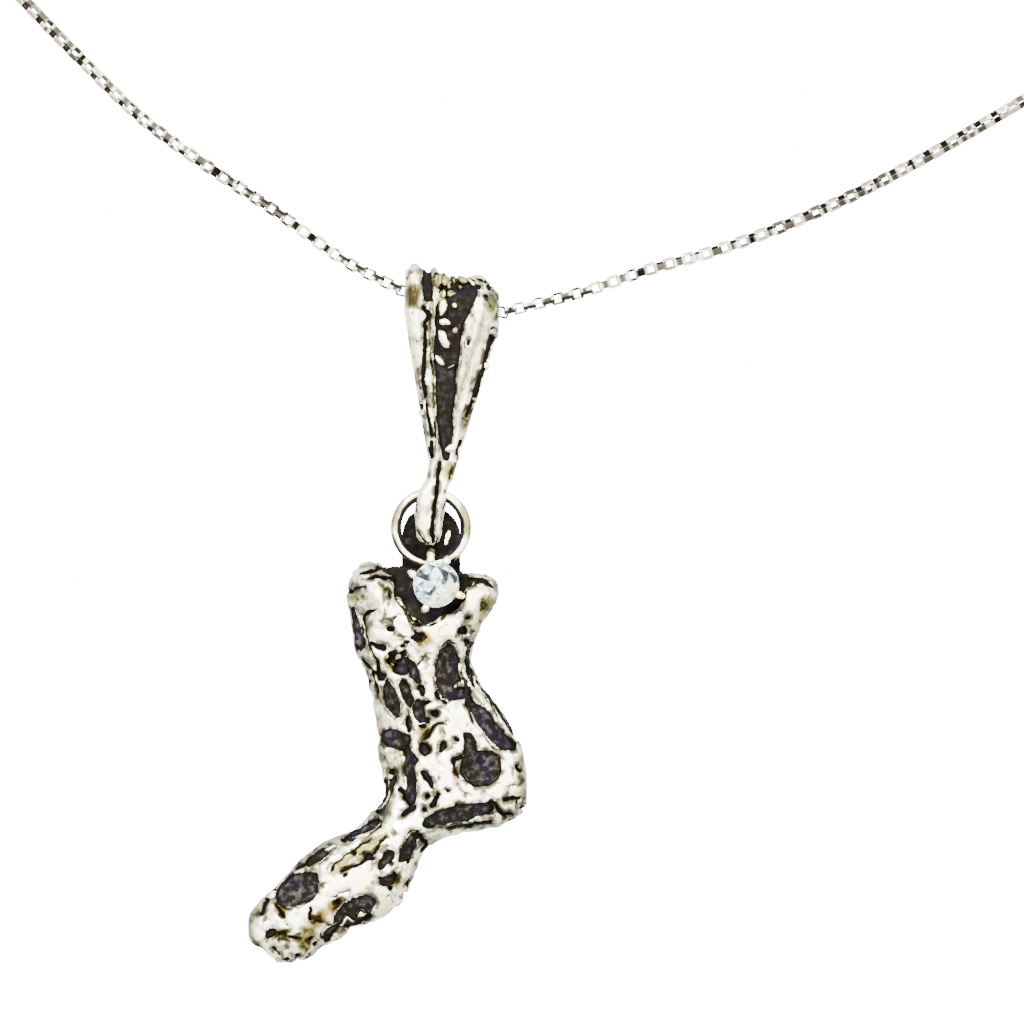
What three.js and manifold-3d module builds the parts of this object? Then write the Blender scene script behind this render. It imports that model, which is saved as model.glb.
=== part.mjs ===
// A cast silver leg pendant on a fine box chain.
// A tapered bail rides on the chain, a jump ring hangs in the bail's eye, and the leg hangs on the ring
// by a soldered staple. A pale blue stone sits in a four-prong head at the top of the leg.
// Millimetres. X runs to the right, Z up, and the front faces -Y. The origin is the middle of the chain
// inside the bail's tunnel.

import * as THREE from 'three';
import { mergeVertices } from 'three/addons/utils/BufferGeometryUtils.js';
import { ConvexGeometry } from 'three/addons/geometries/ConvexGeometry.js';
import Module from 'manifold-3d';

// Box chain
const CHAIN_WIDTH = 0.75; // over the flats of one link
const LINK_LENGTH = 0.87;
const STRIP_THICKNESS = 0.13; // the flat strip that a link is bent from
const LINK_SIDE_CLEARANCE = 0.025; // a strip's edge to the inside of its neighbour
const LINK_END_CLEARANCE = 0.06; // along the chain, between separate links
const SOLDER_OVERLAP = 0.025; // along the chain, where a run is set stiff
const SEAT_LINKS = 13; // loose links in and beside the tunnel
const LEFT_RUN_LINKS = 17;
const RIGHT_RUN_LINKS = 20;
const RUNS_PER_SIDE = 3;
const ROLL_PER_LINK = 0.8; // degrees, the chain's slow twist

// Route of the chain's middle line, from the bail outwards, as x and z
const LEFT_ROUTE = [[-3.41, 0.81], [-6.86, 2.57], [-11.15, 5.62], [-15.96, 8.81], [-20.05, 11.8],
  [-23.8, 15.4], [-29.1, 20.9], [-34.2, 26.4]];
const RIGHT_ROUTE = [[3.02, -0.66], [5.43, -0.16], [8.87, 0.75], [12.45, 1.98], [17.45, 3.41],
  [22.3, 5.23], [27.1, 7.44], [31.7, 9.91], [38.2, 13.7], [46.0, 18.3]];

// Bail
const TUNNEL_TILT = 12.2; // degrees, the right end lower
const TUNNEL_RADIUS = 1.0;
const TUNNEL_ROOF = 0.75; // from the chain's middle to the inside of the strap
const BAIL_TOP_WIDTH = 6.3;
const BAIL_NECK_WIDTH = 1.9;
const STRAP_THICKNESS = 0.75; // at the bottom of its grooves
const LOBE_HEIGHT = 0.6; // how far the two outer lobes stand above the grooves
const RIDGE_HEIGHT = 0.48; // the narrow ridge beside the left groove
const SHOULDER_DROP = 0.9; // from the crown's middle to where the strap begins to narrow
const NECK_Z = -10.4; // where the two strands of the strap have met
const NECK_X = -0.6;
const EYE_X = -1.4;
const EYE_Z = -12.45;
const EYE_DEPTH = 1.05; // from the middle to the front of the eye
const EYE_CLEARANCE = 0.1; // round the ring's wire
const TONGUE_WIDTH = 1.9;
const TONGUE_CLEARANCE = 0.15; // from the tongue's tip to the staple
const TONGUE_REAR = 0.3;

// Jump ring
const RING_RADIUS = 2.27; // to the middle of the wire
const RING_WIRE = 0.72;

// Staple that is soldered to the leg
const STAPLE_WIRE = 0.55;
const STAPLE_CLEARANCE = 0.1;
const STAPLE_LENGTH = 1.1; // of a leg, below the ring's wire
const SOLDER_GAP = 0.04; // between parts that solder or a seat joins

// Cast leg
const BACK_Y = 2.1; // its flat back
const EDGE_Y = 0.7; // the widest line of its side
const BACK_ROUND = 0.7; // the rounding between the side and the back
const COLLAR_HEIGHT = 0.35; // of the ridges that meet below the stone
const RING_CHANNEL = 0.2; // clear space round the ring's wire
const TAB_THICKNESS = 0.6;
const TAB_WIDTH = 3.8;
const TAB_RISE = 3.6; // above the ring's lowest wire
const TAB_ROOT = 2.5; // below it, inside the casting
const RECESS_Y = -1.1; // floor of the recess behind the stone

// Stone and its head
const STONE_DIAMETER = 3.0;
const STONE_X = 0.35; // from the ring's lowest wire
const STONE_Z = -1.4;
const GIRDLE_Y = -2.1;
const CROWN_HEIGHT = 0.42;
const PAVILION_DEPTH = 0.82;
const GIRDLE_THICKNESS = 0.08;
const SEAT_WALL = 0.24;
const PRONG_WIRE = 0.5;
const PRONG_ANGLES = [66, 156, 246, 336]; // degrees from +X, seen from the front

// Ends of the chain
const END_RING_RADIUS = 1.15;
const END_RING_WIRE = 0.38;
const LOOP_RADIUS = 0.8; // the clasp's own loop
const LOOP_WIRE = 0.4;
const CLASP_RADIUS = 2.2; // to the middle of the tube
const CLASP_TUBE = 1.1;
const CLASP_BORE = 0.72;
const BOLT_WIRE = 0.58;
const BOLT_LENGTH = 84; // degrees round the clasp
const BOLT_TRAVEL = 36; // degrees round the clasp
const MOUTH_START = 4; // degrees, where the gap that the bolt closes begins
const MOUTH_ANGLE = 32; // degrees, the length of that gap
const BOLT_ENTRY = 3; // degrees, that the bolt goes into the far side of the gap
const SOCKET_ROOM = 5; // degrees, past the bolt's tip
const SPRING_WIRE = 0.1;
const SPRING_TURNS = 5;
const SPRING_LENGTH = 25; // degrees, when the bolt is drawn back
const THUMB_WIRE = 0.4;
const THUMB_HEIGHT = 0.45; // above the tube

const wasm = await Module();
wasm.setup();

const SILVER = { color: 0xe9e6da, roughness: 0.28, metalness: 1 };
const CHAIN_SILVER = { color: 0xe4dfcf, roughness: 0.3, metalness: 1 };
const OXIDISED = { color: 0xd8d2c2, roughness: 0.35, metalness: 1 };
const BLUE_STONE = { color: 0xb9dde2, roughness: 0.05, metalness: 0 };
const STEEL = { color: 0xc9c9c6, roughness: 0.3, metalness: 1 };

const radians = THREE.MathUtils.degToRad;
const MARK_STEPS = 5; // odd, so that a mark's wall and not a corner meets the skin

// Turns a closed geometry into a solid that can be joined and cut.
function solidOf(geometry) {
  const bare = geometry.clone();
  bare.deleteAttribute('normal');
  bare.deleteAttribute('uv');
  const merged = mergeVertices(bare, 1e-5);
  return new wasm.Manifold(new wasm.Mesh({
    numProp: 3,
    vertProperties: merged.attributes.position.array,
    triVerts: new Uint32Array(merged.index.array),
  }));
}

function geometryOf(solid) {
  const mesh = solid.getMesh();
  const geometry = new THREE.BufferGeometry();
  geometry.setAttribute('position', new THREE.BufferAttribute(mesh.vertProperties, 3));
  geometry.setIndex(new THREE.BufferAttribute(mesh.triVerts, 1));
  geometry.computeVertexNormals();
  return geometry;
}

const joined = (...geometries) => geometries.map(solidOf).reduce((a, b) => a.add(b));
const cutBy = (solid, ...geometries) => geometries.map(solidOf).reduce((a, b) => a.subtract(b), solid);

// A round mark on a cast skin: middle x and z, half length, half width, slope in degrees, height or depth.
// It is set square to the skin at the point that a line from the front meets.
function markOn(skin, [x, z, length, width, slope, rise], sides) {
  skin.computeBoundingBox();
  const start = new THREE.Vector3(x, skin.boundingBox.min.y - rise, z);
  const { point, normal } = new THREE.Raycaster(start, new THREE.Vector3(0, 1, 0))
    .intersectObject(new THREE.Mesh(skin))[0];
  const along = new THREE.Vector3(Math.cos(radians(slope)), 0, Math.sin(radians(slope)));
  const across = new THREE.Vector3().crossVectors(along, normal).normalize();
  along.crossVectors(normal, across);
  return new THREE.SphereGeometry(1, sides, MARK_STEPS)
    .scale(length, rise, width)
    .applyMatrix4(new THREE.Matrix4().makeBasis(along, normal, across).setPosition(point));
}

// A skin over rings of points, with a fan over each end, its faces pointing out.
function loft(rings) {
  const count = rings[0].length;
  const points = rings.flat();
  const faces = [];
  for (let i = 0; i < rings.length - 1; i += 1) {
    for (let j = 0; j < count; j += 1) {
      const a = i * count + j;
      const b = i * count + (j + 1) % count;
      faces.push([a, b, b + count], [a, b + count, a + count]);
    }
  }
  for (const end of [0, rings.length - 1]) {
    const middle = rings[end].reduce((sum, p) => sum.add(p), new THREE.Vector3()).divideScalar(count);
    points.push(middle);
    for (let j = 0; j < count; j += 1) {
      const a = end * count + j;
      const b = end * count + (j + 1) % count;
      faces.push(end === 0 ? [b, a, points.length - 1] : [a, b, points.length - 1]);
    }
  }
  const volume = faces.reduce((sum, [a, b, c]) => sum
    + points[a].dot(new THREE.Vector3().crossVectors(points[b], points[c])), 0);
  const geometry = new THREE.BufferGeometry().setFromPoints(points);
  geometry.setIndex(faces.flatMap(([a, b, c]) => (volume > 0 ? [a, b, c] : [a, c, b])));
  geometry.computeVertexNormals();
  return geometry;
}

function mesh(name, geometry, look) {
  const made = new THREE.Mesh(geometry, new THREE.MeshStandardMaterial(look));
  made.name = name;
  return made;
}

// A round wire along a curve.
function wire(curve, diameter, steps, sides) {
  const section = new THREE.Shape().absarc(0, 0, diameter / 2, 0, 2 * Math.PI);
  const round = new THREE.Shape(section.getSpacedPoints(sides).slice(0, sides));
  return new THREE.ExtrudeGeometry(round, { steps, extrudePath: curve, bevelEnabled: false });
}

// A closed ring of round wire that faces the front.
function ringGeometry(radius, diameter, sides, steps) {
  return new THREE.TorusGeometry(radius, diameter / 2, sides, steps).rotateX(Math.PI / 2);
}

// Chain

const LINK_INSIDE = LINK_LENGTH - 2 * STRIP_THICKNESS;
const STRIP_WIDTH = CHAIN_WIDTH - 2 * STRIP_THICKNESS - 2 * LINK_SIDE_CLEARANCE;
const LOOSE_PITCH = LINK_INSIDE - LINK_END_CLEARANCE;
const STIFF_PITCH = LINK_INSIDE + SOLDER_OVERLAP;

// One link: a flat strip bent into a rectangle round its own Y axis, lying along X.
function linkGeometry() {
  const outline = (length, height) => [[-1, -1], [1, -1], [1, 1], [-1, 1]]
    .map(([x, y]) => new THREE.Vector2(x * length / 2, y * height / 2));
  const shape = new THREE.Shape(outline(LINK_LENGTH, CHAIN_WIDTH));
  shape.holes.push(new THREE.Path(outline(LINK_INSIDE, CHAIN_WIDTH - 2 * STRIP_THICKNESS)));
  return new THREE.ExtrudeGeometry(shape, { depth: STRIP_WIDTH, bevelEnabled: false })
    .translate(0, 0, -STRIP_WIDTH / 2)
    .rotateX(Math.PI / 2);
}

// The tunnel's axis, which the chain follows, and the route's points.
const tunnelAxis = new THREE.Vector3(Math.cos(radians(TUNNEL_TILT)), 0, -Math.sin(radians(TUNNEL_TILT)));
const toPoint = ([x, z]) => new THREE.Vector3(x, 0, z);

// The turn that lays a link's X axis along the chain, rolled about it.
function linkMatrix(place) {
  const depth = new THREE.Vector3(0, 1, 0);
  const up = new THREE.Vector3().crossVectors(place.along, depth).normalize();
  const roll = radians((place.number % 2) * 90 + place.number * place.twist);
  return new THREE.Matrix4().makeBasis(place.along, depth, up).setPosition(place.at)
    .multiply(new THREE.Matrix4().makeRotationX(roll));
}

const HALF_SEAT = (SEAT_LINKS - 1) / 2;

// Loose links, each through the next, on the line of the tunnel.
function seatLinks() {
  const links = new THREE.Group();
  for (let i = 0; i < SEAT_LINKS; i += 1) {
    const at = tunnelAxis.clone().multiplyScalar((i - HALF_SEAT) * LOOSE_PITCH);
    const link = mesh(`seat_link_${String(i + 1).padStart(2, '0')}`, linkGeometry(), CHAIN_SILVER);
    link.applyMatrix4(linkMatrix({ at, along: tunnelAxis, number: i, twist: 0 }));
    links.add(link);
  }
  return links;
}

// The places of one side's links, run by run, with a loose step at the start of each run.
function sidePlaces(side, route, linksPerRun) {
  const along = tunnelAxis.clone().multiplyScalar(side);
  const start = along.clone().multiplyScalar(HALF_SEAT * LOOSE_PITCH);
  const beyond = route.map(toPoint).filter((p) => p.clone().sub(start).dot(along) > LINK_LENGTH);
  const curve = new THREE.CatmullRomCurve3([start, ...beyond], false, 'centripetal');
  curve.arcLengthDivisions = 2000;
  const length = curve.getLength();
  const runs = [];
  let travelled = 0;
  for (let run = 0; run < RUNS_PER_SIDE; run += 1) {
    const places = [];
    for (let i = 0; i < linksPerRun; i += 1) {
      travelled += i === 0 ? LOOSE_PITCH : STIFF_PITCH;
      const u = travelled / length;
      const number = run * linksPerRun + i + (SEAT_LINKS % 2);
      places.push({ at: curve.getPointAt(u), along: curve.getTangentAt(u), number, twist: ROLL_PER_LINK });
    }
    runs.push(places);
  }
  return runs;
}

// Runs of links that stay in line, each run one solid. A side bends where a run hangs in the link before it.
function chainSide(name, runs, side) {
  const chain = new THREE.Group();
  let before = tunnelAxis.clone().multiplyScalar(side * HALF_SEAT * LOOSE_PITCH);
  for (const [i, places] of runs.entries()) {
    const links = places.map((place) => linkGeometry().applyMatrix4(linkMatrix(place)));
    const run = mesh(`${name}_run_${i + 1}`, geometryOf(joined(...links)), CHAIN_SILVER);
    run.userData.hinge = before.clone().add(places[0].at).divideScalar(2);
    before = places.at(-1).at;
    chain.add(run);
  }
  return chain;
}

// Bail

const smooth = THREE.MathUtils.smoothstep;
const bump = (x, middle, width) => Math.exp(-(((x - middle) / width) ** 2));

const STRAP_STEPS = 10; // along a strand
const CROWN_STEPS = 8; // over the tunnel
const STRAP_ACROSS = 16;
const CROWN_Z = TUNNEL_ROOF - TUNNEL_RADIUS;

// The cast pattern across the strap, from -1 at its left edge to 1: lobe, groove, ridge, channel, lobe.
function strapRelief(across) {
  const leftLobe = LOBE_HEIGHT * bump(across, -0.8, 0.2);
  const ridge = RIDGE_HEIGHT * bump(across, -0.36, 0.09);
  const rightLobe = LOBE_HEIGHT * bump(across, 0.56, 0.24);
  return leftLobe + ridge + rightLobe;
}

// The line of the strap's inside, from the front's neck over the tunnel to the back's neck.
function strapPath() {
  const path = [];
  const lean = Math.atan2(TUNNEL_RADIUS, CROWN_Z - NECK_Z);
  for (let i = 0; i < STRAP_STEPS; i += 1) {
    const z = THREE.MathUtils.lerp(NECK_Z, CROWN_Z, i / STRAP_STEPS);
    const y = -TUNNEL_RADIUS * (z - NECK_Z) / (CROWN_Z - NECK_Z);
    path.push({ y, z, normal: [-Math.cos(lean), Math.sin(-lean)] });
  }
  for (let i = 0; i <= CROWN_STEPS; i += 1) {
    const angle = Math.PI * (1 - i / CROWN_STEPS);
    const normal = [Math.cos(angle), Math.sin(angle)];
    path.push({ y: TUNNEL_RADIUS * normal[0], z: CROWN_Z + TUNNEL_RADIUS * normal[1], normal });
  }
  for (const point of path.slice(0, STRAP_STEPS).reverse()) {
    path.push({ y: -point.y, z: point.z, normal: [-point.normal[0], point.normal[1]] });
  }
  return path;
}

// One section across the strap: its outside with the relief, then its plain inside.
function strapSection({ y, z, normal }) {
  const shoulder = CROWN_Z - SHOULDER_DROP;
  const fall = THREE.MathUtils.clamp((shoulder - z) / (shoulder - NECK_Z), 0, 1);
  const half = THREE.MathUtils.lerp(BAIL_TOP_WIDTH, BAIL_NECK_WIDTH, fall) / 2;
  const tilt = radians(TUNNEL_TILT) * (1 - fall);
  const middle = NECK_X * Math.max(0, z / NECK_Z);
  const height = THREE.MathUtils.lerp(1, 0.6, fall);
  const point = (across, out) => new THREE.Vector3(
    middle + across * half * Math.cos(tilt),
    y + normal[0] * out,
    z + normal[1] * out - across * half * Math.sin(tilt),
  );
  const outside = [];
  for (let i = 0; i <= STRAP_ACROSS; i += 1) {
    const across = -1 + 2 * i / STRAP_ACROSS;
    const rounded = STRAP_THICKNESS * Math.sqrt(1 - 0.8 * across ** 6);
    outside.push(point(across, (rounded + strapRelief(across)) * height));
  }
  const inside = [0.9, 0.3, -0.3, -0.9].map((across) => point(across, 0));
  return [...outside, ...inside];
}

const STAPLE_RADIUS = RING_WIRE / 2 + STAPLE_CLEARANCE + STAPLE_WIRE / 2;
const TONGUE_DROP = 2 * RING_RADIUS - STAPLE_RADIUS - STAPLE_WIRE / 2 - TONGUE_CLEARANCE; // from the eye

// Sections of the neck, eye and tongue: distance above the eye, middle, width, front and rear
const TONGUE_STATIONS = [
  [3.2, NECK_X, 0.9 * BAIL_NECK_WIDTH, 0.75, 0.75],
  [2.0, NECK_X, BAIL_NECK_WIDTH, 0.95, 0.95],
  [0.9, NECK_X - 0.25, 0.92 * BAIL_NECK_WIDTH, EYE_DEPTH, EYE_DEPTH],
  [0, EYE_X + 0.1, 1.08 * TONGUE_WIDTH, EYE_DEPTH, EYE_DEPTH],
  [-0.7, EYE_X, 1.06 * TONGUE_WIDTH, EYE_DEPTH, 0.9 * EYE_DEPTH],
  [-1.3, EYE_X - 0.1, 1.02 * TONGUE_WIDTH, 0.85, TONGUE_REAR],
  [0.55 - TONGUE_DROP, EYE_X - 0.15, 0.85 * TONGUE_WIDTH, 0.65, TONGUE_REAR],
  [0.18 - TONGUE_DROP, EYE_X - 0.1, 0.6 * TONGUE_WIDTH, 0.5, TONGUE_REAR],
  [-TONGUE_DROP, EYE_X - 0.05, 0.25 * TONGUE_WIDTH, 0.3, 0.8 * TONGUE_REAR],
];
const TONGUE_SIDES = 18;
const TONGUE_GROOVE = { depth: 0.22, across: 0.35, width: 0.16 };

function tongueGeometry() {
  return loft(TONGUE_STATIONS.map(([rise, middle, width, front, rear]) => {
    const ring = [];
    for (let i = 0; i < TONGUE_SIDES; i += 1) {
      const angle = 2 * Math.PI * i / TONGUE_SIDES;
      const across = Math.sign(Math.cos(angle)) * Math.abs(Math.cos(angle)) ** 0.7;
      const depth = Math.sign(Math.sin(angle)) * Math.abs(Math.sin(angle)) ** 0.7;
      const groove = depth < 0
        ? TONGUE_GROOVE.depth * bump(across, TONGUE_GROOVE.across, TONGUE_GROOVE.width) : 0;
      const y = depth < 0 ? depth * front + groove : depth * rear;
      ring.push(new THREE.Vector3(middle + across * width / 2, y, EYE_Z + rise));
    }
    return ring;
  }));
}

// A flared bore that the ring's wire can swing in.
function eyeBore() {
  const reach = TONGUE_WIDTH * 0.75;
  const profile = [new THREE.Vector2(0, -reach)];
  for (let i = -4; i <= 4; i += 1) {
    const x = reach * i / 4;
    const flare = RING_RADIUS - Math.sqrt(RING_RADIUS ** 2 - x ** 2);
    profile.push(new THREE.Vector2(RING_WIRE / 2 + EYE_CLEARANCE + flare, x));
  }
  profile.push(new THREE.Vector2(0, reach));
  return new THREE.LatheGeometry(profile, 12).rotateZ(-Math.PI / 2).translate(EYE_X, 0, EYE_Z);
}

// Granules and the nugget's lumps, in the channel: middle x and z, half length, half width, slope, height
const GRANULES = [
  [-0.6, -0.4, 0.5, 0.25, 80, 0.25],
  [-0.54, -1.25, 0.36, 0.24, 0, 0.22],
  [0.18, -0.28, 0.26, 0.24, 0, 0.22],
  [-0.5, -2.4, 0.62, 0.32, -65, 0.28],
  [0.24, -1.9, 0.32, 0.36, 0, 0.22],
  [-0.8, -3.8, 0.4, 0.24, -60, 0.22],
  [-0.5, 1.1, 0.36, 0.36, 0, 0.3],
  [-0.15, 0.7, 0.4, 0.3, 25, 0.3],
  [0.6, 1.05, 0.42, 0.26, -15, 0.28],
];
const GRANULE_SIDES = 7;

function bail() {
  const skin = loft(strapPath().map(strapSection));
  const granules = GRANULES.map((granule) => markOn(skin, granule, GRANULE_SIDES));
  const strap = joined(skin, tongueGeometry(), ...granules);
  return mesh('bail', geometryOf(cutBy(strap, eyeBore())), SILVER);
}

// Cast leg, in a frame whose origin is the ring's lowest wire

// Left edge x and z, right edge x and z, and how far the front stands out
const LEG_STATIONS = [
  [-4.1, -0.05, 3.6, -0.85, 1.2],
  [-4.7, -0.35, 4.15, -1.15, 1.9],
  [-5.3, -1.5, 4.4, -2.0, 2.3],
  [-5.4, -2.6, 4.0, -2.9, 2.3],
  [-5.3, -3.8, 3.35, -3.9, 2.25],
  [-5.05, -5.35, 2.75, -5.35, 2.1],
  [-4.2, -7.3, 2.85, -7.2, 2.1],
  [-3.7, -9.25, 4.3, -9.1, 2.2],
  [-3.5, -10.85, 5.35, -10.85, 2.3],
  [-3.25, -12.6, 6.0, -12.5, 2.4],
  [-3.1, -14.1, 6.25, -14.1, 2.4],
  [-3.1, -15.1, 6.05, -15.95, 2.3],
  [-3.7, -16.05, 4.5, -17.05, 2.2],
  [-4.5, -16.95, 2.0, -17.5, 2.1],
  [-5.6, -17.6, 0.05, -18.25, 2.1],
  [-6.8, -18.15, -0.85, -19.45, 2.2],
  [-7.95, -18.85, -1.3, -21.05, 2.3],
  [-9.1, -19.95, -2.55, -22.65, 2.3],
  [-10.35, -21.2, -5.15, -23.85, 2.2],
  [-11.3, -22.25, -6.8, -24.85, 2.0],
  [-11.9, -23.55, -8.2, -25.8, 1.5],
  [-11.75, -24.6, -9.7, -26.0, 0.9],
];

// The larger hollows of the web: middle x and z, half length, half width, slope in degrees, depth
const HOLLOWS = [
  [-4.85, -4.35, 1.5, 0.45, -76, 0.5],
  [-2.15, -6.5, 0.9, 0.55, -50, 0.6],
  [-1.2, -7.0, 0.95, 0.36, -62, 0.5],
  [-2.55, -8.8, 1.3, 0.5, -70, 0.6],
  [-1.6, -8.5, 0.9, 0.34, -68, 0.45],
  [1.1, -7.15, 1.95, 0.85, -88, 0.8],
  [2.45, -6.9, 1.7, 0.3, -90, 0.45],
  [-0.75, -9.5, 0.75, 0.36, -80, 0.45],
  [3.85, -10.6, 2.0, 0.65, -50, 0.7],
  [4.4, -9.55, 1.9, 0.28, -55, 0.4],
  [-2.35, -11.4, 1.0, 0.6, -8, 0.6],
  [3.35, -13.3, 1.3, 1.1, 10, 0.8],
  [2.5, -11.9, 0.95, 0.36, -85, 0.5],
  [-1.3, -14.0, 1.9, 0.36, -86, 0.5],
  [-2.95, -15.0, 1.3, 0.42, 62, 0.5],
  [1.8, -16.2, 2.3, 0.5, 12, 0.6],
  [-4.1, -17.2, 1.1, 0.34, 24, 0.4],
  [-1.45, -18.4, 1.2, 0.45, 66, 0.55],
  [-4.7, -18.9, 2.3, 0.5, 36, 0.35],
  [-2.9, -19.25, 0.7, 0.34, 60, 0.35],
  [-2.75, -20.65, 0.6, 0.34, -5, 0.35],
  [-7.2, -19.0, 1.15, 0.42, 33, 0.5],
  [-8.7, -21.2, 1.6, 1.0, 22, 0.75],
  [-5.0, -22.6, 1.6, 0.85, 35, 0.7],
  [-6.55, -23.95, 0.7, 0.38, 70, 0.45],
];

// Two ridges that run down from the shoulders and meet below the stone
const COLLAR_RIDGES = [
  [[-3.9, -0.9], [-2.9, -2.9], [-1.6, -4.4], [-0.45, -5.1]],
  [[3.6, -1.7], [2.6, -3.1], [1.0, -4.5], [-0.45, -5.1]],
];
const RECESS_OUTLINE = [[-2.35, 1.5], [-2.35, -2.4], [-1.35, -3.8], [-0.4, -4.25], [0.6, -4.0],
  [2.1, -2.4], [2.55, -1.3], [2.55, 1.5]];

const HOLLOW_SIDES = 10;
const LEG_RINGS = 42;
const FRONT_POINTS = 20;
const BACK_POINTS = 3; // over each rounding of the back
const COLLAR_WIDTH = 0.6;

function collarAt(x, z) {
  const at = new THREE.Vector3(x, 0, z);
  const nearest = new THREE.Vector3();
  let distance = Infinity;
  for (const ridge of COLLAR_RIDGES) {
    for (let i = 1; i < ridge.length; i += 1) {
      new THREE.Line3(toPoint(ridge[i - 1]), toPoint(ridge[i])).closestPointToPoint(at, true, nearest);
      distance = Math.min(distance, nearest.distanceTo(at));
    }
  }
  return COLLAR_HEIGHT * bump(distance, 0, COLLAR_WIDTH);
}

// One ring of points round the leg: a domed front, rounded edges and a flat back.
function legRing(left, right, front) {
  const middle = left.clone().add(right).divideScalar(2);
  const half = right.clone().sub(left).divideScalar(2);
  const ring = [];
  for (let i = 0; i <= FRONT_POINTS; i += 1) {
    const angle = Math.PI * i / FRONT_POINTS;
    const dome = Math.sin(angle) ** 0.8;
    const p = middle.clone().addScaledVector(half, -Math.cos(angle));
    const relief = collarAt(p.x, p.z) * smooth(dome, 0, 0.25);
    const out = new THREE.Vector3(p.x - middle.x, 0, p.z - middle.z).multiplyScalar(0.6 / half.length());
    out.y = -dome;
    p.y = EDGE_Y - (front + EDGE_Y) * dome;
    ring.push(p.addScaledVector(out.normalize(), relief));
  }
  const corner = Math.min(BACK_ROUND, half.length() / 2) / half.length();
  for (const side of [1, -1]) {
    for (let i = 1; i <= BACK_POINTS; i += 1) {
      const turn = (Math.PI / 2) * (side > 0 ? i / BACK_POINTS : 1 - (i - 1) / BACK_POINTS);
      const p = middle.clone().addScaledVector(half, side * (1 - corner + corner * Math.cos(turn)));
      p.y = EDGE_Y + (BACK_Y - EDGE_Y) * Math.sin(turn);
      ring.push(p);
    }
  }
  return ring;
}

function legSkin() {
  const curveOf = (pick) => new THREE.CatmullRomCurve3(LEG_STATIONS.map(pick));
  const left = curveOf(([x, z]) => new THREE.Vector3(x, 0, z));
  const right = curveOf(([, , x, z]) => new THREE.Vector3(x, 0, z));
  const fronts = curveOf(([, , , , front]) => new THREE.Vector3(front, 0, 0));
  const rings = [];
  for (let i = 0; i <= LEG_RINGS; i += 1) {
    const t = i / LEG_RINGS;
    rings.push(legRing(left.getPoint(t), right.getPoint(t), fronts.getPoint(t).x));
  }
  return loft(rings);
}

// A rounded tab that rises from the back, behind the ring.
function backTab() {
  const half = TAB_WIDTH / 2;
  const shape = new THREE.Shape();
  shape.moveTo(-half, -TAB_ROOT);
  shape.lineTo(half, -TAB_ROOT);
  shape.lineTo(half, TAB_RISE - half);
  shape.absarc(0, TAB_RISE - half, half, 0, Math.PI, false);
  return new THREE.ExtrudeGeometry(shape, { depth: TAB_THICKNESS, bevelEnabled: false, curveSegments: 9 })
    .rotateX(Math.PI / 2)
    .translate(0, BACK_Y, 0);
}

const LEG_FRONT = Math.max(...LEG_STATIONS.map(([, , , , front]) => front));
const CUT_DEPTH = 2 * (LEG_FRONT + COLLAR_HEIGHT); // of a pocket that opens to the front, past the relief

// The pocket that the stone's head stands in, cut from the front to its floor.
function stoneRecess() {
  const shape = new THREE.Shape(RECESS_OUTLINE.map(([x, z]) => new THREE.Vector2(x, z)));
  return new THREE.ExtrudeGeometry(shape, { depth: CUT_DEPTH, bevelEnabled: false })
    .rotateX(Math.PI / 2)
    .translate(0, RECESS_Y, 0);
}

const HEAD_FLOOR = RECESS_Y - SOLDER_GAP - GIRDLE_Y; // the head's back, from the girdle
const SEAT_RADIUS = STONE_DIAMETER / 2;
const PRONG_CLEARANCE = 0.07; // between the girdle and a prong
const PRONG_RADIUS = SEAT_RADIUS + PRONG_CLEARANCE + PRONG_WIRE / 2;
const HEAD_RADIUS = PRONG_RADIUS + PRONG_WIRE / 2 + 2 * SOLDER_GAP;

// Clear space round the stone's head, down to the same floor.
function headClearance() {
  return new THREE.CylinderGeometry(HEAD_RADIUS, HEAD_RADIUS, CUT_DEPTH, 24)
    .translate(STONE_X, RECESS_Y - CUT_DEPTH / 2, STONE_Z);
}

const ringChannel = () => ringGeometry(RING_RADIUS, RING_WIRE + 2 * RING_CHANNEL, 10, 36)
  .translate(0, 0, RING_RADIUS);
const PAD_MARGIN = 0.15; // of the filed flat, round the staple's feet

// The filed flat that the staple's feet are soldered to.
function staplePad() {
  const height = STAPLE_LENGTH + RING_WIRE;
  const depth = 2 * STAPLE_RADIUS + STAPLE_WIRE + 2 * PAD_MARGIN;
  return new THREE.BoxGeometry(2 * STAPLE_WIRE, depth, height)
    .translate(0, 0, height / 2 - STAPLE_LENGTH - SOLDER_GAP);
}

class StapleCurve extends THREE.Curve {
  getPoint(t) {
    const arch = Math.PI * STAPLE_RADIUS;
    const travelled = t * (2 * STAPLE_LENGTH + arch);
    if (travelled < STAPLE_LENGTH) return new THREE.Vector3(0, -STAPLE_RADIUS, travelled - STAPLE_LENGTH);
    const angle = (travelled - STAPLE_LENGTH) / STAPLE_RADIUS;
    if (angle > Math.PI) return new THREE.Vector3(0, STAPLE_RADIUS, (Math.PI - angle) * STAPLE_RADIUS);
    return new THREE.Vector3(0, -STAPLE_RADIUS * Math.cos(angle), STAPLE_RADIUS * Math.sin(angle));
  }
}

// Stone and head, in a frame whose Y axis is the stone's own

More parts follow.
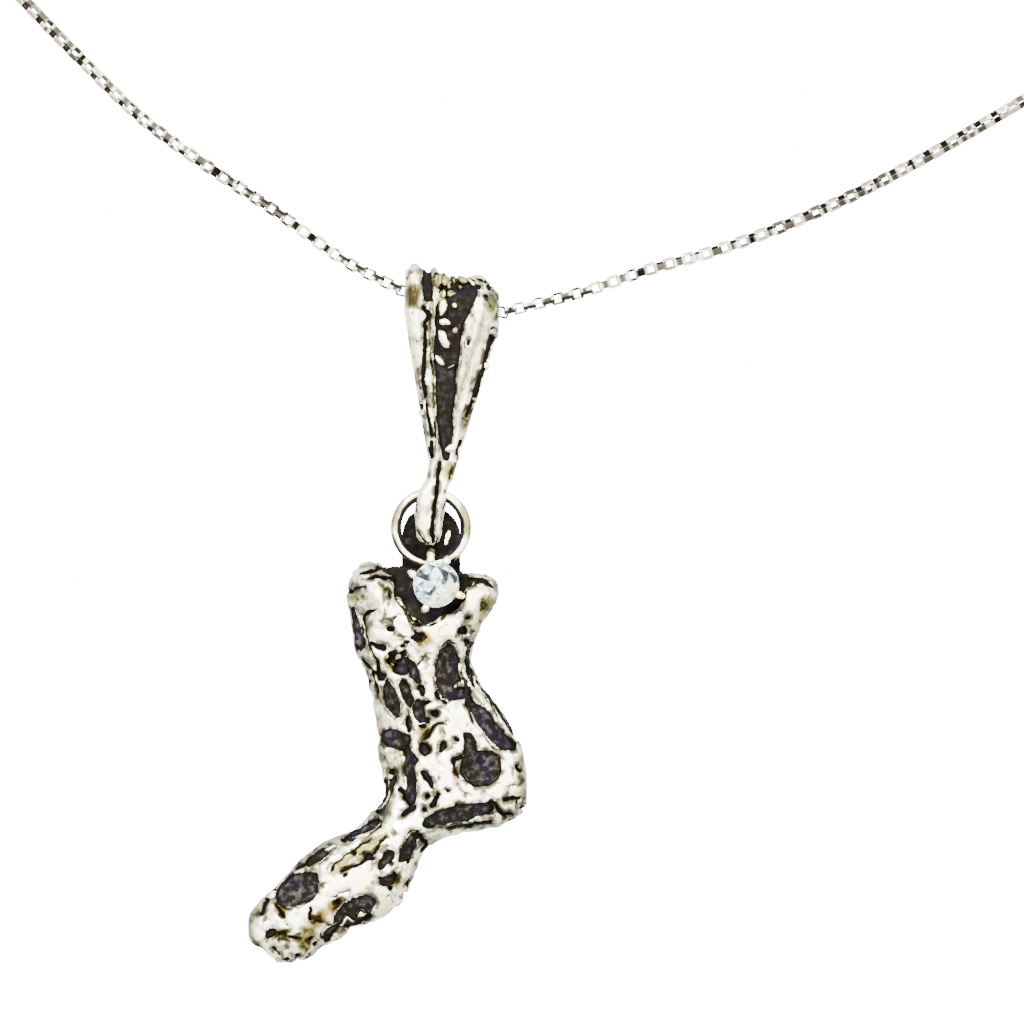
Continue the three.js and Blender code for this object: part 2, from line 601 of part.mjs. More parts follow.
// A round stone: an eight-sided table, a crown, a thin girdle and a pavilion.
function stoneGeometry() {
  const radius = STONE_DIAMETER / 2;
  const circle = (count, r, y, turn) => Array.from({ length: count }, (_, i) => {
    const angle = 2 * Math.PI * (i + turn) / count;
    return new THREE.Vector3(r * Math.cos(angle), y, r * Math.sin(angle));
  });
  return new ConvexGeometry([
    ...circle(8, 0.56 * radius, -GIRDLE_THICKNESS / 2 - CROWN_HEIGHT, 0),
    ...circle(8, 0.83 * radius, -GIRDLE_THICKNESS / 2 - 0.6 * CROWN_HEIGHT, 0.5),
    ...circle(16, radius, -GIRDLE_THICKNESS / 2, 0),
    ...circle(16, radius, GIRDLE_THICKNESS / 2, 0),
    ...circle(8, 0.45 * radius, GIRDLE_THICKNESS / 2 + 0.6 * PAVILION_DEPTH, 0.5),
    new THREE.Vector3(0, GIRDLE_THICKNESS / 2 + PAVILION_DEPTH, 0),
  ]);
}

const SEAT_TOP = 0.2; // below the girdle's middle

// The conical seat under the stone, as a closed profile of radius and depth.
function seatGeometry() {
  const top = SEAT_TOP;
  const slope = SEAT_RADIUS / (PAVILION_DEPTH + GIRDLE_THICKNESS / 2);
  const inner = (y) => SEAT_RADIUS - (y - GIRDLE_THICKNESS / 2) * slope + 3 * SOLDER_GAP;
  const throat = 0.7 * HEAD_FLOOR;
  const profile = [
    [inner(top), top], [SEAT_RADIUS, top], [SEAT_RADIUS, top + SEAT_WALL],
    [0.7 * SEAT_RADIUS, HEAD_FLOOR], [inner(throat), HEAD_FLOOR], [inner(throat), throat], [inner(top), top],
  ];
  return new THREE.LatheGeometry(profile.map(([r, y]) => new THREE.Vector2(r, y)), 20);
}

const TIP_OUT = 0.14; // a prong's tip, from the girdle outwards
const BEAD_RADIUS = 0.58 * PRONG_WIRE;

// A prong: a wire up beside the stone, leaning in over its edge, with a bead at the tip.
function prongGeometry(angle) {
  const tip = new THREE.Vector3(SEAT_RADIUS + TIP_OUT, -CROWN_HEIGHT, 0);
  const line = new THREE.CatmullRomCurve3([
    new THREE.Vector3(PRONG_RADIUS, HEAD_FLOOR, 0),
    new THREE.Vector3(PRONG_RADIUS, HEAD_FLOOR / 2, 0),
    new THREE.Vector3(PRONG_RADIUS, 0, 0),
    tip,
  ]);
  const bead = new THREE.SphereGeometry(BEAD_RADIUS, 7, 5).translate(tip.x, tip.y, tip.z);
  return geometryOf(joined(wire(line, PRONG_WIRE, 4, 6), bead)).rotateY(-radians(angle));
}

function stoneHead() {
  const head = new THREE.Group();
  head.position.set(STONE_X, GIRDLE_Y, STONE_Z);
  head.add(mesh('stone', stoneGeometry(), BLUE_STONE));
  head.add(mesh('stone_seat', seatGeometry(), SILVER));
  for (const [i, angle] of PRONG_ANGLES.entries()) {
    head.add(mesh(`prong_${i + 1}`, prongGeometry(angle), SILVER));
  }
  return head;
}

function leg() {
  const hung = new THREE.Group();
  hung.position.set(EYE_X, 0, EYE_Z - 2 * RING_RADIUS);
  const skin = legSkin();
  const casting = cutBy(
    joined(skin, backTab()),
    ...HOLLOWS.map((hollow) => markOn(skin, hollow, HOLLOW_SIDES)),
    stoneRecess(),
    headClearance(),
    ringChannel(),
    staplePad(),
  );
  hung.add(mesh('leg_casting', geometryOf(casting), SILVER));
  hung.add(mesh('staple', wire(new StapleCurve(), STAPLE_WIRE, 15, 8), OXIDISED));
  hung.add(stoneHead());
  return hung;
}

function jumpRing() {
  const ring = mesh('jump_ring', ringGeometry(RING_RADIUS, RING_WIRE, 9, 32), SILVER);
  ring.position.set(EYE_X, 0, EYE_Z - RING_RADIUS);
  return ring;
}

// Ends of the chain, each in a frame whose X axis runs on from the last link

function endFrame(runs) {
  const last = runs.at(-1).at(-1);
  const reach = (LINK_INSIDE - END_RING_WIRE) / 2 - SOLDER_GAP + END_RING_RADIUS;
  const frame = new THREE.Group();
  frame.applyMatrix4(linkMatrix({ ...last, number: last.number + 1 }));
  frame.position.addScaledVector(last.along, reach);
  return frame;
}

const endRing = (name) => mesh(name, ringGeometry(END_RING_RADIUS, END_RING_WIRE, 6, 18), CHAIN_SILVER);

// An arc round the clasp's middle, between two angles in degrees.
class ClaspArc extends THREE.Curve {
  constructor(from, to) {
    super();
    Object.assign(this, { from, to });
  }

  getPoint(t) {
    const angle = radians(THREE.MathUtils.lerp(this.from, this.to, t));
    return new THREE.Vector3(CLASP_RADIUS * Math.cos(angle), 0, CLASP_RADIUS * Math.sin(angle));
  }
}

// The spring's helix, wound round the same arc.
class SpringCurve extends ClaspArc {
  getPoint(t) {
    const coil = CLASP_BORE / 2 - SPRING_WIRE / 2 - SOLDER_GAP;
    const turn = 2 * Math.PI * SPRING_TURNS * t;
    const middle = super.getPoint(t);
    const outwards = middle.clone().normalize();
    middle.addScaledVector(outwards, coil * Math.cos(turn));
    middle.y = coil * Math.sin(turn);
    return middle;
  }
}

const LOOP_STAND = 0.2 * LOOP_WIRE; // the middle of the loop's wire, off the tube
const BOLT_TIP = MOUTH_START - BOLT_ENTRY;
const BOLT_TAIL = BOLT_TIP + BOLT_LENGTH;
const MOUTH_END = MOUTH_START + MOUTH_ANGLE;
const THUMB_ANGLE = MOUTH_END + 14;
const SPRING_ROOM = 2; // degrees, at each end of the drawn-back spring
const BORE_END = BOLT_TAIL + BOLT_TRAVEL + SPRING_LENGTH + 2 * SPRING_ROOM;
const OVERRUN = 6; // degrees, a cut past the face that it opens
const SLOT_EDGE = 6; // degrees, past the thumb piece at each end of its travel

// The hollow ring of the clasp, with its mouth, its thumb slot and its loop.
function claspBody() {
  const tube = wire(new ClaspArc(MOUTH_END, 360 + MOUTH_START), CLASP_TUBE, 22, 8);
  const bore = wire(new ClaspArc(MOUTH_END - OVERRUN, BORE_END), CLASP_BORE, 9, 6);
  const socket = wire(new ClaspArc(BOLT_TIP - SOCKET_ROOM, MOUTH_START + OVERRUN), CLASP_BORE, 2, 6);
  const from = radians(THUMB_ANGLE - SLOT_EDGE);
  const to = radians(THUMB_ANGLE + BOLT_TRAVEL + SLOT_EDGE);
  const sector = new THREE.Shape();
  sector.absarc(0, 0, CLASP_RADIUS + CLASP_TUBE, from, to, false);
  sector.absarc(0, 0, CLASP_RADIUS, to, from, true);
  const slotWidth = THUMB_WIRE + 2 * SOLDER_GAP;
  const slot = new THREE.ExtrudeGeometry(sector, { depth: slotWidth, bevelEnabled: false, curveSegments: 4 })
    .rotateX(Math.PI / 2)
    .translate(0, slotWidth / 2, 0);
  const loop = new THREE.TorusGeometry(LOOP_RADIUS, LOOP_WIRE / 2, 6, 16)
    .translate(-CLASP_RADIUS - CLASP_TUBE / 2 - LOOP_STAND - LOOP_RADIUS, 0, 0);
  return geometryOf(cutBy(joined(tube, loop), bore, socket, slot));
}

// The sliding bolt, with the thumb piece that stands out through the slot.
function claspBolt() {
  const bolt = wire(new ClaspArc(BOLT_TIP, BOLT_TAIL), BOLT_WIRE, 8, 6);
  const height = CLASP_TUBE / 2 + THUMB_HEIGHT;
  const stem = new THREE.CylinderGeometry(THUMB_WIRE / 2, THUMB_WIRE / 2, height, 6)
    .translate(0, CLASP_RADIUS + height / 2, 0);
  const knob = new THREE.SphereGeometry(0.7 * THUMB_WIRE, 6, 5).translate(0, CLASP_RADIUS + height, 0);
  const thumb = [stem, knob].map((g) => g.rotateX(Math.PI / 2).rotateY(radians(90 - THUMB_ANGLE)));
  return geometryOf(joined(bolt, ...thumb));
}

function clasp() {
  const whole = new THREE.Group();
  const loopReach = END_RING_RADIUS - (END_RING_WIRE + LOOP_WIRE) / 2 - SOLDER_GAP + 2 * LOOP_RADIUS;
  whole.position.x = loopReach + LOOP_STAND + CLASP_TUBE / 2 + CLASP_RADIUS;
  const springFrom = BOLT_TAIL + BOLT_TRAVEL + SPRING_ROOM;
  const springCurve = new SpringCurve(springFrom, springFrom + SPRING_LENGTH);
  whole.add(mesh('clasp_body', claspBody(), CHAIN_SILVER));
  whole.add(mesh('clasp_bolt', claspBolt(), CHAIN_SILVER));
  whole.add(mesh('clasp_spring', wire(springCurve, SPRING_WIRE, 8 * SPRING_TURNS, 4), STEEL));
  return whole;
}

const leftRuns = sidePlaces(-1, LEFT_ROUTE, LEFT_RUN_LINKS);
const rightRuns = sidePlaces(1, RIGHT_ROUTE, RIGHT_RUN_LINKS);
const leftEnd = endFrame(leftRuns).add(endRing('left_end_ring'), clasp());
const rightEnd = endFrame(rightRuns).add(endRing('right_end_ring'));

const group = new THREE.Group();
group.add(seatLinks(), chainSide('left', leftRuns, -1), chainSide('right', rightRuns, 1));
group.add(leftEnd, rightEnd, bail(), jumpRing(), leg());

export default group;
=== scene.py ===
"""A cast silver leg pendant with a pale blue stone, hung from a ridged bail on a fine box chain."""

import itertools
import math

import bmesh
import bpy
import numpy as np
from mathutils import Matrix, Vector


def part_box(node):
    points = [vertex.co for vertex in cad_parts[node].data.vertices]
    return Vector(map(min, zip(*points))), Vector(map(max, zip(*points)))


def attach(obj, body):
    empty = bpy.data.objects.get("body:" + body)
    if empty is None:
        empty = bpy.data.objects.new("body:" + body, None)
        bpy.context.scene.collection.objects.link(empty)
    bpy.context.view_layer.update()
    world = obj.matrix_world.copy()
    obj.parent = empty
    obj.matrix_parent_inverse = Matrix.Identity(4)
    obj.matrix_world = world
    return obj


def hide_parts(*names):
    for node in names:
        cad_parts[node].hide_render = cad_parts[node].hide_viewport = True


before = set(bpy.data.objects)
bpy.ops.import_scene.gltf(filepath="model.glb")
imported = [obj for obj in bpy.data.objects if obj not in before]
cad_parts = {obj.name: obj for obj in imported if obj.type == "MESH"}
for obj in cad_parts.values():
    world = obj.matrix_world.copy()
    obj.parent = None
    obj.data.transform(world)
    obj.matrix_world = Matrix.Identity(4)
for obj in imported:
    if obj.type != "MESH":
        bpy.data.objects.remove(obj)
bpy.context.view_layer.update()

# Chain: a fine silver box chain. Each link is a flat strip bent into a rectangle with rounded corners,
# and the next link passes through it, turned by a quarter. Thirteen loose links lie in the bail's
# tunnel, and the links outside it follow the route in runs.

MM = 0.001
CHAIN_WIDTH = 0.75
LINK_LENGTH = 0.87
CORNER_RADIUS = 0.15
STRIP_THICKNESS = 0.13
STRIP_WIDTH = 0.44
STRIP_EDGE = 0.04
BEND_ROOM = 0.013
LOOSE_PITCH = 0.55
STIFF_PITCH = 0.635
SEAT_LINKS = 13
ROLL_PER_LINK = math.radians(0.8)
TUNNEL_TILT = math.radians(12.2)
SIDES = {
    "left": {
        "sign": -1,
        "links": 17,
        "route": [(-3.41, 0.81), (-6.86, 2.57), (-11.15, 5.62), (-15.96, 8.81), (-20.05, 11.8),
                  (-23.8, 15.4), (-29.1, 20.9), (-34.2, 26.4)],
    },
    "right": {
        "sign": 1,
        "links": 20,
        "route": [(3.02, -0.66), (5.43, -0.16), (8.87, 0.75), (12.45, 1.98), (17.45, 3.41),
                  (22.3, 5.23), (27.1, 7.44), (31.7, 9.91), (38.2, 13.7), (46.0, 18.3)],
    },
}


class Paint:
    """A shader socket. Python's operators on it add Math nodes, and node() adds any other node."""

    def __init__(self, tree, socket=None):
        self.tree = tree
        self.socket = socket

    def node(self, kind, output, inputs, **settings):
        """One output of a new node. Its settings come first, then the values or links of its sockets."""
        made = self.tree.nodes.new("ShaderNode" + kind)
        for name, value in settings.items():
            setattr(made, name, value)
        for key, value in inputs.items():
            if isinstance(value, Paint):
                self.tree.links.new(value.socket, made.inputs[key])
            else:
                made.inputs[key].default_value = value
        return Paint(self.tree, made.outputs[output])

    def math(self, operation, *values):
        return self.node("Math", 0, dict(enumerate(values)), operation=operation)

    def __add__(self, other):
        return self.math("ADD", self, other)

    def __sub__(self, other):
        return self.math("SUBTRACT", self, other)

    def __rsub__(self, other):
        return self.math("SUBTRACT", other, self)

    def __mul__(self, other):
        return self.math("MULTIPLY", self, other)

    def __pow__(self, other):
        return self.math("POWER", self, other)

    __radd__ = __add__
    __rmul__ = __mul__

    def step(self, low, high):
        """0 below low and 1 above high, smooth between them. low may be the larger."""
        inputs = {"Value": self, "From Min": low, "From Max": high}
        return self.node("MapRange", "Result", inputs, interpolation_type="SMOOTHSTEP")

    def mix(self, first, second):
        """A colour: first where this value is 0, second where it is 1."""
        return self.node("Mix", 2, {0: self, 6: first, 7: second}, data_type="RGBA")

    def tinted(self, tint):
        """This colour under the tint that the mesh carries."""
        inputs = {0: 1.0, 6: self, 7: tint}
        return self.node("Mix", 2, inputs, data_type="RGBA", blend_type="MULTIPLY")

    def noise(self, size, detail=3.0):
        """Values round 0.5 that vary over about size millimetres of the piece."""
        place = self.node("TexCoord", "Object", {})
        return self.node("TexNoise", 0, {"Vector": place, "Scale": 1 / (size * MM), "Detail": detail})

    def bump(self, strength, depth):
        """The normal of a surface that this value roughens, depth in millimetres."""
        return self.node("Bump", 0, {"Height": self, "Strength": strength, "Distance": depth * MM})

    def read(self, name, output):
        """A value or colour that the mesh carries at its points."""
        return self.node("Attribute", output, {}, attribute_name=name)


def material(name, make=lambda paint: {}, **constants):
    """A Principled material. make gets a Paint and returns the sockets that vary over the surface."""
    made = bpy.data.materials.new(name)
    made.use_nodes = True
    tree = made.node_tree
    shader = next(n for n in tree.nodes if n.type == "BSDF_PRINCIPLED")
    for key, value in constants.items():
        shader.inputs[key.replace("_", " ")].default_value = value
    for key, value in make(Paint(tree)).items():
        tree.links.new(value.socket, shader.inputs[key.replace("_", " ")])
    return made


def patina(paint, worn, gap, dark, size):
    """The oxide's colour, near black with green, brown and purple in it. The rim of a hollow is darkest."""
    drift = paint.noise(size * 2.2)
    black = drift.step(0.38, 0.5).mix((0.0046, 0.005, 0.0034, 1), (0.0056, 0.0041, 0.0029, 1))
    black = drift.step(0.5, 0.62).mix(black, (0.005, 0.0041, 0.0066, 1))
    worn_through = paint.noise(size * 0.7, 5.0).step(0.44, 0.78) * gap.step(-0.14, -0.42)
    black = worn_through.mix(black, (0.05, 0.048, 0.043, 1))
    black = gap.step(-0.2, -0.05).mix(black, (0.0012, 0.001, 0.0006, 1))
    return dark.mix(worn, black)


def silver(roughness, size, warmth_and_shade):
    """Polished silver whose hollows are oxidised. Near each hollow the metal darkens in two warm bands,
    partly a tarnish fringe and partly painted shade of the slopes down into it. The mesh carries gap, in
    millimetres, and tint.
    """

    def make(paint):
        gap = paint.read("gap", "Fac") + (paint.noise(size * 0.45, 4.0) - 0.5) * 0.12
        dark = gap.step(0.05, -0.03)
        # The two bands below darken the metal towards a hollow: partly a tarnish fringe, partly painted
        # shade on the slopes.
        haze_and_shade = gap.step(0.3, 0.07) * paint.noise(size * 1.1, 4.0).step(0.43, 0.57) * warmth_and_shade
        film_and_shade = gap.step(0.55, 0.2) * paint.noise(size * 1.9, 5.0).step(0.53, 0.66) * warmth_and_shade
        tone = paint.noise(size * 1.6, 4.0)
        metal = tone.step(0.34, 0.54).mix((0.88, 0.82, 0.42, 1), (0.98, 0.955, 0.7, 1))
        metal = (1 - (1 - film_and_shade) ** 2).mix(metal, (0.3, 0.29, 0.2, 1))
        metal = (1 - (1 - haze_and_shade) ** 3).mix(metal, (0.06, 0.051, 0.026, 1))
        worn = metal.tinted(paint.read("tint", "Color"))
        return {
            "Base_Color": patina(paint, worn, gap, dark, size),
            "Metallic": 1 - dark,
            "Roughness": dark * 0.45 + tone * 0.14 + (roughness - 0.07),
            "Normal": paint.noise(size, 1.0).bump(0.3, 0.03),
        }

    return make


def smoothstep(low, high, value):
    t = np.clip((value - low) / (high - low), 0, 1)
    return t * t * (3 - 2 * t)


def lit(colour):
    """The tint that shows as a colour under the strong light, which pales every tint."""
    return np.array(colour) ** 2.0 * np.mean(colour) ** 2.2 * 0.5


def grain(points, size, seed):
    """Smooth random values from -1 to 1 at the points, which vary over about size millimetres."""
    count = 32
    table = np.random.default_rng(seed).uniform(-1, 1, (count,) * 3)
    cell = points @ np.array(Matrix.Rotation(0.9 + seed, 3, (0.5, 0.4, 0.77))) / size
    low = np.floor(cell).astype(int)
    t = cell - low
    t = t * t * (3 - 2 * t)
    total = np.zeros(len(points))
    for corner in itertools.product((0, 1), repeat=3):
        index = (low + corner) % count
        total += np.prod(np.where(corner, t, 1 - t), axis=1) * table[tuple(index.T)]
    return total


def added(name, data):
    """A new object of the scene."""
    made = bpy.data.objects.new(name, data)
    bpy.context.scene.collection.objects.link(made)
    return made


def piece(name, body, replaced, paint, points, faces, gap=None, tint=None, smooth=True):
    """A finished piece of the object, from points in millimetres, in the place of CAD nodes."""
    mesh = bpy.data.meshes.new(name)
    mesh.from_pydata(points * MM, [], faces)
    if gap is not None:
        mesh.attributes.new("gap", "FLOAT", "POINT").data.foreach_set("value", gap)
    if tint is not None:
        mesh.attributes.new("tint", "FLOAT_COLOR", "POINT").data.foreach_set("color", tint.ravel())
    mesh.polygons.foreach_set("use_smooth", [smooth] * len(mesh.polygons))
    mesh.materials.append(paint)
    made = added(name, mesh)
    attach(made, body)
    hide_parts(*replaced)


def colours(points, colour):
    """One colour for every point, as an array that stains can be laid on."""
    return np.tile((*colour, 1.0), (len(points), 1))


def grid_faces(rows, columns, closed=True):
    """Quads between rows of points that run round. closed joins the last row to the first."""
    faces = []
    for i in range(rows if closed else rows - 1):
        for j in range(columns):
            a, b = i * columns, (i + 1) % rows * columns
            k = (j + 1) % columns
            faces.append((a + j, a + k, b + k, b + j))
    return faces


def rounded_outline(half_x, half_y, radius, steps, parts=1):
    """Points round a rectangle with rounded corners, its two sides along X in so many parts."""
    points = []
    for quarter, (sx, sy) in enumerate([(1, 1), (-1, 1), (-1, -1), (1, -1)]):
        for k in range(steps + 1):
            angle = math.pi / 2 * (quarter + k / steps)
            points.append((sx * (half_x - radius) + radius * math.cos(angle),
                           sy * (half_y - radius) + radius * math.sin(angle)))
        for k in range(1, 1 if quarter % 2 else parts):
            points.append((sx * (half_x - radius) * (1 - 2 * k / parts), sy * half_y))
    return np.array(points)


def link_points():
    """One link: the strip's rounded section carried round the link's rectangle, along X."""
    size = np.array([LINK_LENGTH / 2, CHAIN_WIDTH / 2, CORNER_RADIUS])
    path = rounded_outline(*size, 3, 5)
    opening = rounded_outline(*(size - STRIP_THICKNESS), 3, 5)
    section = rounded_outline(0.5, STRIP_WIDTH / 2 - BEND_ROOM, STRIP_EDGE, 2)
    points, inside = [], []
    for outer, inner in zip(path, opening):
        for depth, side in section:
            x, z = inner + (outer - inner) * (depth + 0.5)
            points.append((x, side, z))
            inside.append(0.5 - depth)
    return np.array(points), grid_faces(len(path), len(section)), np.array(inside)


def chain_curve(start, route):
    """A centripetal Catmull-Rom curve through the route, as close points and the length up to each."""
    knots = [np.array(p, float) for p in [start, *route]]
    knots = [2 * knots[0] - knots[1], *knots, 2 * knots[-1] - knots[-2]]
    points = []
    for p0, p1, p2, p3 in zip(knots, knots[1:], knots[2:], knots[3:]):
        d0, d1, d2 = [math.sqrt(np.linalg.norm(b - a)) for a, b in ((p0, p1), (p1, p2), (p2, p3))]
        out = ((p1 - p0) / d0 - (p2 - p0) / (d0 + d1) + (p2 - p1) / d1) * d1
        into = ((p2 - p1) / d1 - (p3 - p1) / (d1 + d2) + (p3 - p2) / d2) * d1
        t = np.linspace(0, 1, 400, endpoint=False)[:, None]
        curve = p1 + out * t + (3 * (p2 - p1) - 2 * out - into) * t**2
        points.append(curve + (2 * (p1 - p2) + out + into) * t**3)
    points = np.concatenate(points)
    steps = np.linalg.norm(np.diff(points, axis=0), axis=1)
    return points, np.concatenate([[0], np.cumsum(steps)])


def placed(points, at, along, roll):
    """Points of a link moved to their place, its X axis along the chain."""
    along = np.array([along[0], 0, along[1]]) / math.hypot(*along)
    depth = np.array([0, 1, 0])
    up = np.cross(along, depth)
    x, y, z = np.asarray(points).T
    y, z = y * math.cos(roll) - z * math.sin(roll), y * math.sin(roll) + z * math.cos(roll)
    return np.array([at[0], 0, at[1]]) + np.outer(x, along) + np.outer(y, depth) + np.outer(z, up)


def link_roll(number):
    """Each link outside the bail turns by a quarter from the one before, and a little more."""
    return number % 2 * math.pi / 2 + number * ROLL_PER_LINK


def chain_material(paint):
    dark = paint.read("gap", "Fac").step(0.2, 0.6) * paint.noise(0.25).step(0.25, 0.45)
    metal = paint.noise(0.3).step(0.35, 0.6).mix((0.7, 0.63, 0.48, 1), (0.95, 0.93, 0.86, 1))
    worn = metal.tinted(paint.read("tint", "Color"))
    return {
        "Base_Color": dark.mix(worn, (0.006, 0.0045, 0.003, 1)),
        "Metallic": 1 - dark * 0.7,
        "Roughness": paint.noise(0.2) * 0.2 + dark * 0.3 + 0.1,
        "Normal": paint.noise(0.09).bump(0.25, 0.02),
    }


def corner_shade(shape, roll, facing):
    """Two rows of dark spots, painted shade where the links meet: the top middle and the lower ends of an
    open link, and the lower half of a link whose flat faces the front.
    """
    up = shape[:, 1] * math.sin(roll) + shape[:, 2] * math.cos(roll)
    if facing:
        return smoothstep(0.05, -0.1, up)
    along = np.abs(shape[:, 0])
    return (smoothstep(0.15, 0.3, up) * smoothstep(0.22, 0.14, along)
            + smoothstep(-0.15, -0.3, up) * smoothstep(0.2, 0.28, along))


def run_of_links(name, places, body, tarnish=0.0):
    """A run of links as one piece, each link with its own shade of tarnish. Links whose flat strip faces the
    front draw darker shades, painted shade on those flats; the tarnish argument adds darkness, which for the
    seat links is painted shade of the bail.
    """
    shape, quads, inside = link_points()
    points, faces, gaps, tints = [], [], [], []
    for number, (at, along, roll) in enumerate(places):
        faces += [tuple(corner + number * len(shape) for corner in quad) for quad in quads]
        points.append(placed(shape, at, along, roll))
        # Links whose flat strip faces the front get a darker inside and darker shades below: painted shade
        # on those flats.
        facing = round(roll / (math.pi / 2)) % 2
        depth = chain_draw.uniform(0.6, 1.0) if facing else chain_draw.uniform(0.1, 0.6)
        # Within these spans the links get painted shade where they meet.
        corners = any(low < at[0] < high for low, high in CORNER_SPANS)
        spots = SPOT_SHADE * corner_shade(shape, roll, facing) if corners else 0
        gaps.append(inside * depth + tarnish + spots)
        shade = lit(LINK_SHADES[chain_draw.choice(len(LINK_SHADES), p=SHADE_SHARES[facing])])
        middle, half = chain_draw.uniform(-0.12, 0.12), chain_draw.uniform(0.14, 0.4)
        away = np.abs(shape[:, 0] - middle) - half
        tint = colours(shape, LINK_SILVER)
        tint[:, :3] += (shade - tint[:, :3]) * smoothstep(0.1, -0.1, away)[:, None]
        tints.append(tint)
    piece(name + ".links", body, [name], chain_silver, np.concatenate(points), faces,
          np.concatenate(gaps), np.concatenate(tints))


SEAT_SHADE = 0.25
SPOT_SHADE = 1.1
CORNER_SPANS = [(-14.5, -10.7), (-7.4, 8.9)]
chain_draw = np.random.default_rng(7)
LINK_SILVER = (1, 0.97, 0.86)
LINK_SHADES = [(0.98, 0.97, 0.9), (0.6, 0.57, 0.52), (0.34, 0.28, 0.23), (0.55, 0.56, 0.49)]
SHADE_SHARES = [[0.72, 0.12, 0.08, 0.08], [0.1, 0.42, 0.24, 0.24]]
chain_silver = material("chain_silver", chain_material, Specular_IOR_Level=0.05)
tunnel = np.array([math.cos(TUNNEL_TILT), -math.sin(TUNNEL_TILT)])
half_seat = (SEAT_LINKS - 1) // 2
# The links in the bail's tunnel are darkened, painted shade of the bail over them.
for number in range(SEAT_LINKS):
    place = (tunnel * (number - half_seat) * LOOSE_PITCH, tunnel, number % 2 * math.pi / 2)
    run_of_links(f"seat_link_{number + 1:02d}", [place], "seat", SEAT_SHADE)

chain_ends = {}
for side, chain in SIDES.items():
    start = tunnel * chain["sign"] * half_seat * LOOSE_PITCH
    beyond = [p for p in chain["route"] if (np.array(p) - start) @ tunnel * chain["sign"] > LINK_LENGTH]
    curve, lengths = chain_curve(start, beyond)
    travelled = 0
    for run in range(3):
        places = []
        for i in range(chain["links"]):
            travelled += STIFF_PITCH if i else LOOSE_PITCH
            k = np.searchsorted(lengths, travelled)
            number = run * chain["links"] + i + SEAT_LINKS % 2
            places.append((curve[k], curve[k + 1] - curve[k - 1], link_roll(number)))
        run_of_links(f"{side}_run_{run + 1}", places, f"{side}_chain_{run + 1}")
    chain_ends[side] = (*places[-1][:2], link_roll(number + 1))

# Bail: one silver casting. A broad strap folds over the chain, narrows to a neck, and ends in a split
# tongue in front of the jump ring. Two polished lobes and a narrow ridge stand on an oxidised ground
# with a column of granules and a crumpled nugget at the top.

BAIL_VOXEL = 0.055
BAIL_HOLLOW = 0.18
BEAD_HEIGHT = 0.3
NUGGET_HEIGHT = 0.26
TUNNEL_REACH = 1.35
EYE_DROP = 12.45
CHANNEL = [(0.6, 0.55, 1.0), (-0.2, -1.3, 0.95), (-0.35, -3.05, 0.86), (-0.45, -4.55, 0.74),
           (-0.45, -6.75, 0.56), (-0.45, -8.7, 0.45), (-0.35, -10.15, 0.26)]
BAIL_STROKES = [
    CHANNEL, [(-1.65, 1.85, 0.24), (-1.65, 1.05, 0.32), (-1.6, 0.2, 0.26)],
    [(-1.85, -0.45, 0.15), (-1.5, -0.9, 0.17), (-1.75, -1.35, 0.13)],
    [(-1.75, -1.55, 0.13), (-1.7, -3.05, 0.14), (-1.85, -4.55, 0.18), (-1.75, -6.2, 0.15)],
    [(-2.05, -6.8, 0.17), (-2.05, -7.4, 0.15)],
    [(-1.65, -6.75, 0.13), (-1.5, -7.8, 0.14), (-1.35, -8.7, 0.13)],
    [(-1.35, -9.2, 0.15), (-1.35, -10.1, 0.18)],
    # This stroke by the right edge paints the chain's shadow where it leaves the bail, as a dark hollow.
    [(3.05, 0.4, 0.11), (3.15, -0.55, 0.18), (3.0, -1.15, 0.09)],
    [(2.7, -1.85, 0.17), (2.45, -2.95, 0.24), (2.0, -4.55, 0.22), (1.4, -6.2, 0.16), (0.9, -7.5, 0.09)],
    [(0.55, -9.1, 0.17), (0.45, -9.85, 0.24)], [(0.25, -10.85, 0.15), (-0.1, -11.55, 0.13)],
    [(-0.2, -12.0, 0.15), (-0.25, -12.35, 0.13)],
    [(-0.8, -10.5, 0.12), (-0.95, -11.4, 0.13), (-1.05, -12.7, 0.12), (-1.2, -13.9, 0.12),
     (-1.35, -14.95, 0.13), (-1.2, -15.95, 0.13)],
    [(-2.4, -14.75, 0.05), (-2.0, -15.4, 0.08), (-1.45, -16.0, 0.1)],
    [(-0.35, -14.75, 0.05), (-0.55, -15.4, 0.06), (-1.0, -15.95, 0.09)],
]
BAIL_PITS = [(1.55, 0.95, 0.35, 0.22, 0), (2.4, 0.95, 0.17, 0.22, 0), (1.05, -2.7, 0.12, 0.2, 0),
             (1.85, 1.4, 0.45, 0.1, -20), (0.0, 1.35, 0.16, 0.12, 30), (0.62, 1.75, 0.25, 0.1, -20),
             (-0.75, 0.85, 0.1, 0.22, 0), (2.15, 0.35, 0.16, 0.12, 20)]
NUGGET = [(-0.5, 1.2, 0.24, 0.3, 0), (-0.1, 0.5, 0.3, 0.22, 15), (0.62, 1.3, 0.36, 0.2, -15),
          (0.15, 1.65, 0.4, 0.2, 10), (-0.95, 1.3, 0.2, 0.46, 0), (0.12, 1.15, 0.2, 0.18, 0),
          (1.2, 1.2, 0.3, 0.16, -30), (-0.6, 0.45, 0.2, 0.26, 0), (0.5, 0.85, 0.22, 0.16, 20),
          (-0.2, 0.95, 0.16, 0.16, 0), (-0.5, 1.75, 0.3, 0.14, 0)]
